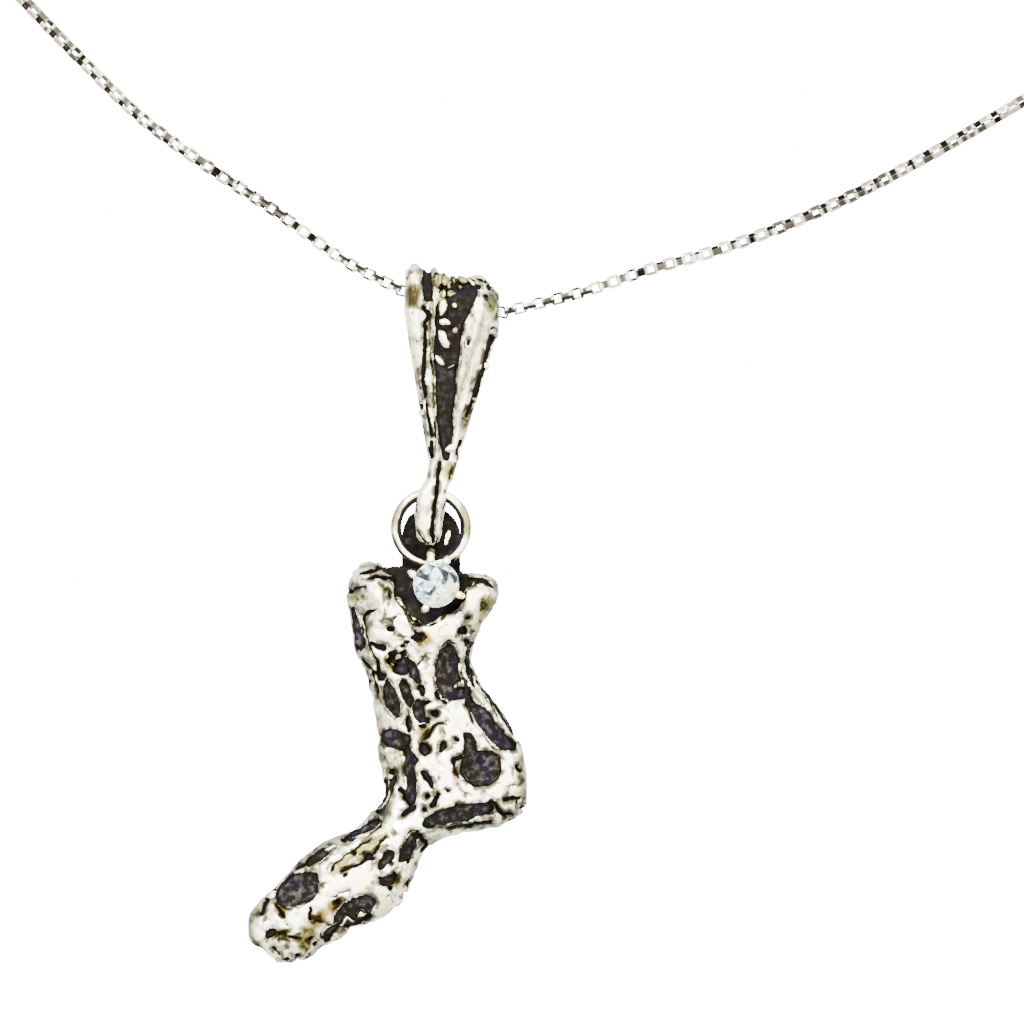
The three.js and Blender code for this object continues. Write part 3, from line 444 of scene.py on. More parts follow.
GRANULES = [(-0.62, -0.42, 0.5, 0.22, 78), (-0.5, -1.33, 0.38, 0.21, 0), (0.16, -0.29, 0.17, 0.19, 0),
            (-0.57, -2.44, 0.68, 0.31, -61), (0.18, -1.86, 0.21, 0.24, 0), (-0.81, -3.87, 0.42, 0.18, -52),
            (-0.1, -4.3, 0.3, 0.16, 25), (-0.2, -9.6, 0.34, 0.3, 0), (-1.45, -3.15, 0.15, 0.25, 0),
            (2.75, -2.1, 0.28, 0.3, 0), (2.62, -4.0, 0.2, 0.22, 0), (2.15, -4.2, 0.17, 0.2, 0),
            (1.4, -6.4, 0.14, 0.2, 0), (-1.95, -7.25, 0.2, 0.2, 0), (-1.95, -8.35, 0.2, 0.24, 0)]
# Spots of colour on the bail; the first, brown at the upper left of the bail, paints shade.
BAIL_STAINS_AND_SHADE = [
    (-2.55, 0.3, 0.45, 0.75, 0, (0.56, 0.48, 0.34)), (-2.4, -5.0, 0.3, 0.35, 0, (0.8, 0.7, 0.5)),
    (1.4, -3.15, 2.3, 0.1, 74, (0.76, 0.74, 0.62)), (0.85, -7.6, 0.35, 0.8, -15, (0.82, 0.76, 0.68)),
    (-0.1, 1.2, 1.2, 0.8, -8, (0.88, 0.85, 0.62)), (-2.0, -8.6, 0.3, 0.7, 0, (0.46, 0.58, 0.56)),
    (0.3, -1.95, 0.4, 0.45, 0, (0.84, 0.78, 0.84)), (-0.2, -11.0, 0.35, 0.6, 0, (0.84, 0.76, 0.64)),
    (2.5, 0.0, 0.35, 0.7, 0, (0.7, 0.68, 0.5)), (-0.1, -4.3, 0.4, 0.3, 0, (0.76, 0.7, 0.78)),
    (2.75, -2.2, 0.3, 0.5, 0, (0.8, 0.74, 0.76)), (-1.7, 2.0, 0.5, 0.3, 0, (0.56, 0.66, 0.62)),
    (-2.5, -7.0, 0.3, 0.8, 0, (0.58, 0.52, 0.34)), (2.9, 1.4, 0.5, 0.3, 0, (0.66, 0.74, 0.68)),
]


def dense_copy(node, voxel, rounds):
    """A CAD node as an even fine skin in millimetres, its facets smoothed away, with its normals."""
    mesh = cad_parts[node].data.copy()
    mesh.transform(Matrix.Scale(1 / MM, 4))
    model = bmesh.new()
    model.from_mesh(mesh)
    bmesh.ops.remove_doubles(model, verts=model.verts, dist=0.0005)
    model.to_mesh(mesh)
    model.free()
    rough = added("rough", mesh)
    remesh = rough.modifiers.new("remesh", "REMESH")
    remesh.mode = "VOXEL"
    remesh.voxel_size = voxel
    skin = bpy.data.meshes.new_from_object(rough.evaluated_get(bpy.context.evaluated_depsgraph_get()))
    bpy.data.objects.remove(rough)
    points = np.empty(len(skin.vertices) * 3)
    skin.vertices.foreach_get("co", points)
    points = points.reshape(-1, 3)
    faces = np.empty(len(skin.loops), int)
    skin.loops.foreach_get("vertex_index", faces)
    faces = faces.reshape(-1, 4)
    for step in [0.5, -0.53] * rounds:
        points = points + step * (neighbour_mean(points, faces) - points)
    return points, faces, normals_of(points, faces)


def summed(values, faces, count):
    """The sum at each point of the values that its faces bring."""
    return np.stack([np.bincount(faces.ravel(), column, count) for column in values.T], axis=1)


def neighbour_mean(points, faces):
    count = len(points)
    total = summed(points[np.roll(faces, -1, axis=1).ravel()], faces, count)
    return total / np.bincount(faces.ravel(), minlength=count)[:, None]


def normals_of(points, faces):
    a, b, c, d = points[faces.T]
    total = summed(np.repeat(np.cross(c - a, d - b), 4, axis=0), faces, len(points))
    return total / np.linalg.norm(total, axis=1)[:, None]


def ellipse_gap(x, z, shape):
    """Millimetres from the edge of an ellipse, negative inside it."""
    middle_x, middle_z, length, width, slope = shape
    c, s = math.cos(math.radians(slope)), math.sin(math.radians(slope))
    along = ((x - middle_x) * c + (z - middle_z) * s) / length
    across = ((z - middle_z) * c - (x - middle_x) * s) / width
    radius = np.maximum(np.hypot(along, across), 0.001)
    steepness = np.hypot(along / length, across / width) / radius
    return (radius - 1) / np.maximum(steepness, 0.001)


def stroke_gap(x, z, stroke):
    """Millimetres from the edge of a stroke, a line whose half width changes from point to point."""
    gap = np.full(len(x), np.inf)
    for (x0, z0, w0), (x1, z1, w1) in zip(stroke, stroke[1:]):
        dx, dz = x1 - x0, z1 - z0
        t = np.clip(((x - x0) * dx + (z - z0) * dz) / (dx * dx + dz * dz), 0, 1)
        gap = np.minimum(gap, np.hypot(x - x0 - t * dx, z - z0 - t * dz) - w0 - t * (w1 - w0))
    return gap


def least_gap(x, z, ellipses, strokes):
    gaps = [ellipse_gap(x, z, shape) for shape in ellipses] + [stroke_gap(x, z, s) for s in strokes]
    return np.min(gaps, axis=0)


def stained(tint, x, z, stains, strength):
    """Lays soft spots of colour on the tint."""
    for *shape, colour in stains:
        weight = (smoothstep(0.25, -0.2, ellipse_gap(x, z, shape)) * strength)[:, None]
        tint[:, :3] = tint[:, :3] ** (1 - weight) * lit(colour) ** weight
    return tint


def warp(points, size, reach, seed):
    """A smooth random shift over the front's plane, which makes drawn shapes irregular."""
    shift = np.zeros((len(points), 3))
    for column, number in ((0, seed), (2, seed + 1)):
        shift[:, column] = grain(points, size, number) + 0.45 * grain(points, size * 0.4, number + 2)
    return shift * reach


def box_of(node):
    """The low and the high corner of a CAD node's box, in millimetres."""
    return [np.array(corner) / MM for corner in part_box(node)]


def kept_in(points, node, margin=0.01):
    """The points, held inside the CAD node's box."""
    low, high = box_of(node)
    return np.clip(points, low + margin, high - margin)


def bail_skin():
    points, faces, normals = dense_copy("bail", BAIL_VOXEL, 5)
    x, y, z = points.T
    outward = np.where(y * normals[:, 1] > 0, np.abs(normals[:, 1]), 0)
    shown = smoothstep(0.12, 0.45, outward) + smoothstep(0.2, 0.6, normals[:, 2]) * (z > 0.3)
    shown = np.clip(shown, 0, 1)
    gap = least_gap(x, z, BAIL_PITS, BAIL_STROKES)
    grit = 0.88 - 0.25 * grain(points, 2.6, 11) - grain(points, 0.45, 12) - 0.3 * grain(points, 0.2, 18)
    gap = np.maximum(np.minimum(gap, 0.35 * grit + 0.05), -0.24)
    beads = least_gap(x, z, GRANULES, [])
    lumps = least_gap(x, z, NUGGET, [])
    dome = np.sqrt(np.clip(-beads / 0.25, 0, 1))
    hollow = smoothstep(0.05, -0.16, gap) * smoothstep(0.0, 0.08, np.minimum(beads, lumps))
    relief = BEAD_HEIGHT * dome * smoothstep(0.2, -0.2, gap) - BAIL_HOLLOW * hollow
    relief += NUGGET_HEIGHT * np.sqrt(np.clip(-lumps / 0.2, 0, 1)) + 0.05 * smoothstep(0.25, -0.05, lumps)
    relief += 0.02 * grain(points, 0.6, 14) + hollow * 0.05 * grain(points, 0.22, 15)
    drawn = np.minimum(beads, lumps)
    gap = np.where(drawn < 0, -2.2 * drawn, np.minimum(gap, np.where(lumps < 0.12, -0.01, 9)))
    gap = gap * shown + (1 - shown) * (0.32 + 0.3 * grain(points, 0.9, 16))
    gap = np.where((np.hypot(y, z) < TUNNEL_REACH) & (outward < 0.05), -0.05, gap)
    tint = stained(colours(points, (1, 1, 1)), x, z, BAIL_STAINS_AND_SHADE, smoothstep(0.1, -0.2, normals[:, 1]))
    points = points + normals * (relief * shown)[:, None]
    clear = smoothstep(0.75, 1.4, np.hypot(y, z + EYE_DROP))
    points = points + warp(points, 0.75, 0.085, 17) * (shown * clear)[:, None]
    return kept_in(points, "bail"), faces.tolist(), gap, tint


cast_silver = material("cast_silver", silver(0.22, 0.6, 0.8), Specular_IOR_Level=0.015)
piece("bail.casting", "bail_body", ["bail"], cast_silver, *bail_skin())

# Jump ring: round silver wire bent into a ring and soldered shut. It hangs in the bail's eye, and its
# polish is a little worn, with tarnish left on the inside.

RING_RADIUS = 2.27
RING_WIRE = 0.72
RING_DENTS = 0.012
RING_INSET = 0.002


def turns(count, start=0.0):
    """Even steps once round a circle, in radians."""
    return 2 * math.pi * (np.arange(count) + start) / count


def on_wire(radius, wire, around, turn):
    """Points on a ring of wire that faces the front, by their angles round the ring and the wire."""
    radius, around, turn = np.broadcast_arrays(radius, around, turn)
    reach = radius + wire / 2 * np.cos(turn)
    points = np.stack([reach * np.cos(around), wire / 2 * np.sin(turn), reach * np.sin(around)], axis=-1)
    return points.reshape(-1, 3)


def wire_ring(radius, wire, steps, sides):
    """Points and faces of a closed ring of round wire."""
    return on_wire(radius, wire, turns(steps)[:, None], turns(sides)), grid_faces(steps, sides)


ring_silver = material("ring_silver", silver(0.2, 0.5, 0.6), Specular_IOR_Level=0.03)
ring_middle = sum(box_of("jump_ring")) / 2
away, faces = wire_ring(RING_RADIUS, RING_WIRE, 120, 28)
outwards = away - RING_RADIUS * away * [1, 0, 1] / np.linalg.norm(away * [1, 0, 1], axis=1)[:, None]
outwards /= np.linalg.norm(outwards, axis=1)[:, None]
points = away + ring_middle
points = points + outwards * (RING_DENTS * grain(points, 0.7, 21) - RING_DENTS - RING_INSET)[:, None]
inside = np.tile(-np.cos(turns(28)), 120)
tarnish = 0.34 - 0.5 * smoothstep(-0.1, 0.5, inside) + 0.14 * grain(points, 0.8, 22)
# Cream stains on the ring, and at its lower left outside a dark band that paints shade.
ring_stains_and_shade = [
    (0.95, -14.2, 0.4, 1.2, 10, (0.78, 0.8, 0.56)), (-3.7, -13.6, 0.35, 1.0, -20, (0.82, 0.78, 0.6)),
    (-3.85, -15.9, 0.22, 1.1, 25, (0.26, 0.2, 0.17)), (0.3, -17.0, 0.5, 0.3, 0, (0.8, 0.82, 0.6)),
]
tint = stained(colours(points, (1, 0.99, 0.92)), points[:, 0], points[:, 2], ring_stains_and_shade, 0.9)
piece("jump_ring.wire", "ring_body", ["jump_ring"], ring_silver, points, faces, tarnish, tint)

# Leg: one heavy silver casting, domed in front and flat behind. Rounded ridges run over it as an
# irregular web, the hollows between them are cut deep and oxidised, and a flat tab rises behind the
# ring. The places of the hollows are measured from the ring's lowest wire.

LEG_VOXEL = 0.075
LEG_HOLLOW = 0.34
SIDE_PITS = 0.16
CAST_HOLLOWS = [
    (-4.85, -4.35, 1.5, 0.45, -76), (-2.15, -6.5, 0.9, 0.55, -50), (-1.2, -7.0, 0.95, 0.36, -62),
    (-2.55, -8.8, 1.3, 0.5, -70), (-1.6, -8.5, 0.9, 0.34, -68), (1.1, -7.15, 1.95, 0.85, -88),
    (2.45, -6.9, 1.7, 0.3, -90), (-0.75, -9.5, 0.75, 0.36, -80),
    (3.85, -10.6, 2.0, 0.65, -50), (4.4, -9.55, 1.9, 0.28, -55), (-2.35, -11.4, 1.0, 0.6, -8),
    (3.3, -13.3, 1.4, 1.25, 10), (2.5, -11.9, 0.95, 0.36, -85), (-1.3, -14.0, 1.9, 0.36, -86),
    (-2.95, -15.0, 1.3, 0.42, 62), (1.8, -16.2, 2.3, 0.5, 12), (-4.1, -17.2, 1.1, 0.34, 24),
    (-1.45, -18.4, 1.2, 0.45, 66), (-2.9, -19.25, 0.7, 0.34, 60), (-2.75, -20.65, 0.6, 0.34, -5),
    (-7.2, -19.0, 1.15, 0.42, 33), (-8.7, -21.2, 1.6, 1.0, 22), (-5.0, -22.6, 1.6, 0.85, 35),
    (-6.55, -23.95, 0.7, 0.38, 70),
]
GOLD_HOLLOW = (-4.7, -18.9, 2.3, 0.5, 36)
LEG_PITS = [
    (-2.6, -4.35, 0.3, 0.2, -20), (-1.6, -5.15, 0.25, 0.12, 20), (-3.25, -7.35, 0.3, 0.25, 0),
    (-0.65, -8.2, 0.3, 0.3, 0), (-1.5, -10.3, 0.7, 0.2, -85), (0.65, -8.4, 0.4, 0.35, 0),
    (2.2, -4.45, 0.3, 0.3, 0), (0.25, -9.65, 0.22, 0.2, 0), (-0.65, -10.45, 0.25, 0.15, 0),
    (1.65, -11.35, 0.2, 0.15, 0), (5.8, -13.35, 0.3, 0.2, -20), (-2.55, -13.55, 0.25, 0.25, 0),
    (-0.4, -15.95, 0.2, 0.15, 0), (5.95, -15.9, 0.15, 0.2, 0), (-0.3, -15.1, 0.2, 0.2, 0),
    (1.9, -12.65, 0.15, 0.35, -70), (1.1, -14.7, 0.15, 0.15, 0), (-3.7, -16.9, 0.4, 0.2, 10),
    (-4.55, -17.3, 0.25, 0.2, 0), (-5.05, -17.7, 0.5, 0.25, 10), (-5.6, -17.95, 0.25, 0.15, 0),
    (-4.05, -19.0, 0.25, 0.25, 0), (-4.9, -18.75, 0.15, 0.15, 0), (-1.45, -20.85, 0.2, 0.25, 0),
    (-1.7, -21.6, 0.2, 0.2, -40), (-2.4, -22.4, 0.2, 0.1, 40), (-0.6, -19.55, 0.1, 0.15, -30),
    (-8.15, -20.4, 0.8, 0.4, 10), (-10.4, -24.0, 0.3, 0.42, -70), (-8.9, -24.25, 0.3, 0.15, -15),
    (-7.45, -24.7, 0.15, 0.15, 0), (-9.8, -23.95, 0.15, 0.1, 0), (-2.5, -21.1, 0.25, 0.15, 0),
    (-6.0, -21.95, 0.2, 0.15, 0), (1.55, -8.45, 0.95, 0.5, 0),
    (-0.4, -12.1, 0.55, 0.33, -65), (0.8, -11.9, 0.48, 0.2, 80), (-0.25, -14.0, 0.7, 0.24, -60),
]
LEG_STROKES = [
    [(-4.55, -0.6, 0.12), (-3.7, -0.45, 0.14), (-3.1, -0.2, 0.18), (-2.3, -0.55, 0.36)],
    [(-4.4, -1.0, 0.06), (-3.5, -0.85, 0.14), (-2.6, -0.95, 0.18), (-2.2, -1.5, 0.12), (-2.1, -2.0, 0.1)],
    [(-5.25, -1.85, 0.12), (-4.8, -1.6, 0.12), (-4.3, -1.5, 0.05)],
    [(-4.4, -6.25, 0.1), (-3.9, -6.95, 0.15), (-3.2, -7.25, 0.16)],
    [(-3.95, -7.0, 0.1), (-3.6, -7.8, 0.14), (-3.4, -8.6, 0.06)],
    [(2.4, -1.2, 0.35), (3.3, -1.15, 0.25), (4.1, -1.6, 0.12)],
    [(-0.6, -11.5, 0.06), (0.2, -10.6, 0.08), (0.9, -10.2, 0.05)],
    [(-3.65, -2.95, 0.06), (-4.1, -3.15, 0.17), (-4.4, -3.5, 0.13), (-4.3, -4.1, 0.08), (-4.1, -4.9, 0.07)],
    [(-4.1, -4.9, 0.06), (-3.8, -5.8, 0.09), (-3.35, -7.1, 0.13)],
    [(-3.8, -5.25, 0.14), (-3.0, -5.55, 0.18)],
    [(-1.85, -6.0, 0.23), (-1.3, -6.95, 0.29), (-0.85, -7.65, 0.26)],
    [(2.35, -5.15, 0.2), (2.55, -6.65, 0.24), (2.4, -8.6, 0.28)],
    [(-0.2, -8.9, 0.18), (-0.8, -9.05, 0.21), (-0.8, -9.75, 0.22), (-0.3, -10.15, 0.18)],
    [(2.55, -8.9, 0.33), (3.2, -10.05, 0.49), (4.35, -11.35, 0.6), (5.2, -11.85, 0.36)],
    [(2.95, -7.6, 0.11), (3.85, -8.7, 0.18), (4.8, -10.05, 0.21), (5.55, -11.35, 0.2)],
    [(2.35, -11.0, 0.12), (2.45, -11.75, 0.3), (2.65, -12.4, 0.5), (2.95, -13.0, 0.7)],
    [(-2.1, -11.85, 0.29), (-1.2, -12.65, 0.26), (-1.15, -13.8, 0.21), (-1.6, -15.25, 0.21),
     (-1.25, -15.9, 0.22), (-1.85, -16.3, 0.16)],
    [(-2.35, -13.95, 0.21), (-2.8, -14.9, 0.36), (-3.4, -15.95, 0.36)],
    [(0.4, -14.9, 0.13), (0.15, -15.6, 0.2)],
    [(-0.3, -16.9, 0.26), (0.9, -16.4, 0.41), (2.2, -16.05, 0.44), (3.75, -15.85, 0.39)],
    [(0.9, -17.3, 0.08), (2.55, -17.0, 0.1), (3.85, -16.85, 0.1)],
    [(4.15, -15.5, 0.13), (4.65, -16.25, 0.18), (5.35, -16.25, 0.14)],
    [(4.85, -15.35, 0.11), (5.8, -15.25, 0.13)], [(1.5, -12.8, 0.1), (1.75, -13.8, 0.08)],
    [(-4.95, -17.55, 0.33), (-4.1, -17.1, 0.23), (-3.25, -16.8, 0.13)],
    [(-6.55, -19.9, 0.08), (-5.7, -19.15, 0.06), (-4.6, -18.4, 0.05), (-3.85, -17.85, 0.04)],
    [(-5.8, -19.9, 0.1), (-4.8, -19.55, 0.11), (-4.05, -19.1, 0.14), (-3.4, -18.45, 0.11),
     (-2.85, -17.8, 0.06)],
    [(-0.85, -17.45, 0.19), (-1.55, -18.25, 0.32), (-1.7, -18.9, 0.32), (-1.45, -19.4, 0.15)],
    [(-0.65, -17.7, 0.17), (-0.35, -18.25, 0.17), (-0.7, -18.8, 0.09)],
    [(-3.2, -19.55, 0.09), (-2.95, -19.0, 0.08), (-2.65, -18.8, 0.08)],
    [(-3.25, -19.6, 0.1), (-2.75, -19.35, 0.06), (-2.45, -19.55, 0.05)],
    [(-3.25, -20.35, 0.13), (-3.0, -20.8, 0.16), (-2.4, -20.7, 0.16), (-2.2, -20.3, 0.15)],
    [(-10.7, -21.8, 0.11), (-11.1, -22.75, 0.17)], [(-10.05, -22.25, 0.12), (-9.55, -22.8, 0.1)],
    [(-7.75, -22.35, 0.1), (-7.85, -23.1, 0.13)],
    [(-11.45, -24.5, 0.09), (-11.2, -24.9, 0.08), (-10.6, -25.6, 0.04)],
    [(-10.15, -24.9, 0.08), (-9.75, -25.5, 0.07)], [(-9.5, -25.75, 0.1), (-9.2, -25.65, 0.06)],
    [(-8.7, -25.4, 0.15), (-8.65, -25.85, 0.13)], [(-7.5, -25.5, 0.09), (-7.0, -25.05, 0.1)],
    [(-5.25, -23.9, 0.17), (-4.7, -23.35, 0.28), (-4.0, -22.9, 0.22)],
    [(-10.2, -21.15, 0.11), (-9.4, -20.5, 0.11), (-8.4, -19.65, 0.11), (-7.45, -18.9, 0.13)],
    [(-9.7, -24.5, 0.05), (-9.35, -24.55, 0.04)], [(-6.45, -21.6, 0.05), (-5.3, -21.3, 0.05)],
]
LEG_BEADS = [(-2.7, -6.15, 0.2, 0.2, 0), (-2.4, -6.65, 0.22, 0.22, 0), (-2.15, -6.25, 0.2, 0.2, 0),
             (-2.75, -6.75, 0.14, 0.2, 0), (1.62, -7.9, 0.3, 0.2, 30), (-4.55, -22.75, 0.35, 0.3, 0),
             (-6.55, -18.5, 0.3, 0.15, 30), (-4.55, -6.05, 0.2, 0.2, 0)]
LEG_RIDGES = [
    [(-0.85, -17.9, 0.1), (-1.05, -19.1, 0.11)],
    [(-5.95, -23.5, 0.11), (-5.5, -23.0, 0.14), (-5.0, -23.2, 0.1)],
    [(-6.15, -24.5, 0.11), (-5.5, -24.1, 0.13), (-4.85, -23.95, 0.09)],
    [(-2.45, -7.6, 0.11), (-1.6, -9.75, 0.13)],
]
LEG_STAINS_AND_SHADE = [
    (-4.7, -18.9, 2.3, 0.42, 36, (0.86, 0.82, 0.6)), (-2.4, -6.5, 0.5, 0.6, 0, (0.78, 0.72, 0.5)),
    (-0.35, -4.9, 0.5, 0.4, 0, (0.8, 0.68, 0.46)), (-1.85, -13.3, 0.3, 0.7, -70, (0.66, 0.74, 0.66)),
    (-9.8, -22.45, 0.4, 0.3, 0, (0.74, 0.6, 0.34)), (-9.7, -24.0, 0.5, 0.3, 0, (0.66, 0.66, 0.44)),
    (-8.1, -24.3, 0.8, 0.5, 60, (0.82, 0.76, 0.52)), (-7.3, -23.0, 0.7, 0.4, 60, (0.76, 0.66, 0.44)),
    # The long green-grey band at x -12.0 runs along the toe's left edge and paints shade.
    (-12.0, -24.0, 0.4, 1.6, 20, (0.78, 0.82, 0.64)), (-6.2, -22.2, 0.6, 0.3, 30, (0.76, 0.62, 0.36)),
    (3.7, -2.75, 0.5, 0.6, 0, (0.74, 0.74, 0.44)), (-4.95, -1.9, 0.4, 0.6, 0, (0.8, 0.82, 0.62)),
    (0.1, -9.75, 0.35, 0.4, 0, (0.44, 0.54, 0.5)), (2.2, -17.0, 1.7, 0.22, 4, (0.58, 0.68, 0.74)),
    (1.65, -13.8, 0.2, 0.6, 0, (0.92, 0.78, 0.72)), (-2.6, -2.0, 0.3, 0.9, 20, (0.84, 0.84, 0.76)),
    (-0.4, -12.1, 0.4, 0.3, 0, (0.6, 0.6, 0.42)), (-2.3, -20.5, 0.4, 0.25, 0, (0.7, 0.54, 0.34)),
    (-0.9, -20.7, 0.35, 0.6, 0, (0.8, 0.74, 0.52)), (-3.05, -16.2, 0.4, 0.9, -40, (0.68, 0.76, 0.68)),
    (5.2, -16.4, 0.5, 0.5, 0, (0.84, 0.86, 0.68)), (-4.3, -7.5, 0.25, 1.2, 20, (0.62, 0.68, 0.62)),
    (-0.5, -10.9, 0.5, 0.3, 0, (0.74, 0.64, 0.42)), (5.9, -13.9, 0.4, 1.4, 0, (0.84, 0.86, 0.74)),
    (-2.85, -1.8, 0.5, 0.1, -32, (0.52, 0.52, 0.42)), (-3.9, -3.9, 0.35, 0.2, 0, (0.7, 0.69, 0.58)),
    (-1.5, -1.7, 0.5, 1.3, 20, (0.36, 0.46, 0.45)),
    (1.4, -2.9, 0.9, 0.5, 30, (0.46, 0.38, 0.42)),
]
# The cream tint of surfaces turned away from the front: partly a warm film, partly painted shade of the
# leg's edges.
FILM_AND_SIDE_SHADE = (0.82, 0.82, 0.72)
RECESS = [(0.0, 1.0, 2.65), (0.0, -1.3, 2.3), (-0.35, -2.6, 1.35), (-0.4, -3.6, 0.5)]
RECESS_FRONT = -1.9
TAB_GLINT = (1.05, 1.6, 0.5, 0.13, 75)


def leg_skin(hung):
    points, faces, normals = dense_copy("leg_casting", LEG_VOXEL, 6)
    x, y, z = (points - hung).T
    shown = smoothstep(0.3, -0.25, normals[:, 1])
    shown = np.maximum(shown, smoothstep(0.2, 0.6, normals[:, 2]) * (z > -3.0))
    cast = least_gap(x, z, CAST_HOLLOWS, [])
    gold = ellipse_gap(x, z, GOLD_HOLLOW)
    gap = np.minimum(cast, least_gap(x, z, LEG_PITS, LEG_STROKES))
    grit = 0.76 - 0.3 * grain(points, 2.2, 31) - grain(points, 0.5, 32) - 0.35 * grain(points, 0.22, 34)
    gap = np.minimum(gap, 0.4 * grit + 0.03)
    gap = np.maximum(gap, -2.2 * least_gap(x, z, LEG_BEADS, LEG_RIDGES))
    gap += 0.3 * smoothstep(0.0, 0.1, gap) * smoothstep(0.0, -0.2, gold)
    side = smoothstep(0.75, 0.35, np.abs(normals[:, 1])) * (y > -1.2)
    hollow = smoothstep(0.07, -0.2, gap)
    already = smoothstep(0.05, -0.25, np.minimum(cast, gold))
    relief = 0.1 * smoothstep(0.0, 0.35, gap) - LEG_HOLLOW * hollow * (1 - 0.6 * already)
    relief += 0.03 * grain(points, 0.6, 33) + hollow * 0.06 * grain(points, 0.24, 35)
    patches = 0.6 - np.abs(grain(points, 1.3, 36)) - 0.4 * grain(points, 0.5, 37)
    relief = relief * shown - side * (1 - shown) * SIDE_PITS * smoothstep(0.05, -0.2, patches)
    back = smoothstep(0.3, 0.8, normals[:, 1])
    relief += back * 0.015 * grain(points, 0.9, 38)
    # The recess round the stone and the tab behind the ring are painted near black: partly oxide, partly
    # painted shade of the pocket. The glint on the tab is left bare silver.
    recess = smoothstep(0.1, -0.1, stroke_gap(x, z, RECESS) + 0.15 * grain(points, 0.5, 39))
    recess *= (y > RECESS_FRONT) * (normals[:, 1] < 0.5)
    relief = relief * (1 - recess) + recess * 0.02 * grain(points, 0.3, 40)
    worn_flat = 0.36 + 0.2 * grain(points, 1.7, 45) + 0.17 * grain(points, 0.36, 46)
    gap = gap * shown + (1 - shown) * (patches * side + worn_flat * (1 - side))
    glint = ellipse_gap(x, z, TAB_GLINT) + 0.05 * grain(points, 0.2, 41)
    gap = gap * (1 - recess) + recess * np.where(glint < 0, 0.3, 0.14 * grain(points, 0.7, 42) - 0.17)
    # Surfaces turned away from the front, less so behind, take a cream tint in patches that darkens them:
    # partly a warm film, partly painted shade of the leg's edges.
    film_and_shade = smoothstep(-0.75, -0.35, normals[:, 1]) * smoothstep(-0.5, 0.5, grain(points, 1.1, 44))
    film_and_shade *= 1 - 0.7 * back
    tint = colours(points, (1, 1, 1))
    tint[:, :3] = lit(FILM_AND_SIDE_SHADE) ** film_and_shade[:, None]
    tint = stained(tint, x, z, LEG_STAINS_AND_SHADE, smoothstep(0.1, -0.2, normals[:, 1]))
    points = points + normals * relief[:, None]
    clear = smoothstep(0.6, 1.3, np.hypot(x, z - 0.4)) * (1 - recess)
    points = points + warp(points, 0.8, 0.16, 43) * (shown * clear)[:, None]
    return kept_in(points, "leg_casting"), faces.tolist(), gap, tint


hung_at = ring_middle - [0, 0, RING_RADIUS]
piece("leg.casting", "leg_body", ["leg_casting"], cast_silver, *leg_skin(hung_at))

# Staple: a short silver wire bent over the ring's lowest point, with both feet soldered to the leg.

STAPLE_WIRE = 0.55
STAPLE_PLAY = 0.1
STAPLE_RADIUS = RING_WIRE / 2 + STAPLE_PLAY + STAPLE_WIRE / 2
STAPLE_LENGTH = 1.1
STAPLE_INSET = 0.008
STAPLE_TINT = (0.9, 0.86, 0.76)


def tube(path, radii, sides):
    """Points and faces of a round wire along a path, its two ends closed."""
    path = np.asarray(path, float)
    along = np.gradient(path, axis=0)
    along /= np.linalg.norm(along, axis=1)[:, None]
    across = np.cross(along[0], [0.31, 0.17, 0.93])
    points = []
    for at, forward, radius in zip(path, along, np.broadcast_to(radii, len(path))):
        across = across - forward * (across @ forward)
        across /= np.linalg.norm(across)
        other = np.cross(forward, across)
        for angle in turns(sides):
            points.append(at + radius * (across * math.cos(angle) + other * math.sin(angle)))
    last = (len(path) - 1) * sides
    ends = [tuple(range(sides))[::-1], tuple(range(last, last + sides))]
    return np.array(points), grid_faces(len(path), sides, closed=False) + ends


arch = [math.pi * i / 24 for i in range(25)]
staple_path = [(0, -STAPLE_RADIUS, -STAPLE_LENGTH * (1 - i / 8)) for i in range(8)]
staple_path += [(0, -STAPLE_RADIUS * math.cos(a), STAPLE_RADIUS * math.sin(a)) for a in arch]
staple_path += [(0, STAPLE_RADIUS, -STAPLE_LENGTH * i / 8) for i in range(1, 9)]
points, faces = tube(hung_at + np.array(staple_path), STAPLE_WIRE / 2 - STAPLE_INSET, 18)
piece("staple.wire", "leg_body", ["staple"], ring_silver, points, faces,
      0.1 + 0.15 * grain(points, 0.4, 41), colours(points, STAPLE_TINT))

# Stone and head: a round pale blue stone of 3 mm, cut as a brilliant. It rests in a conical silver
# seat between four wire prongs, whose beaded tips are pressed over its edge.

STONE_RADIUS = 1.5
GIRDLE_THICKNESS = 0.08
CROWN_HEIGHT = 0.42
PAVILION_DEPTH = 0.82
HEAD_FLOOR = 0.96
PRONG_WIRE = 0.5
PRONG_INSET = 0.01
PRONG_GAP = 0.07
PRONG_RADIUS = STONE_RADIUS + PRONG_GAP + PRONG_WIRE / 2
PRONG_ANGLES = [66, 156, 246, 336]
stone_low, stone_high = box_of("stone")
stone_middle = (stone_low + stone_high) / 2
stone_middle[1] = stone_low[1] + CROWN_HEIGHT + GIRDLE_THICKNESS / 2


def circle(count, radius, depth, start=0.0):
    return on_wire(radius, 0, turns(count, start), 0) + [0, depth, 0]


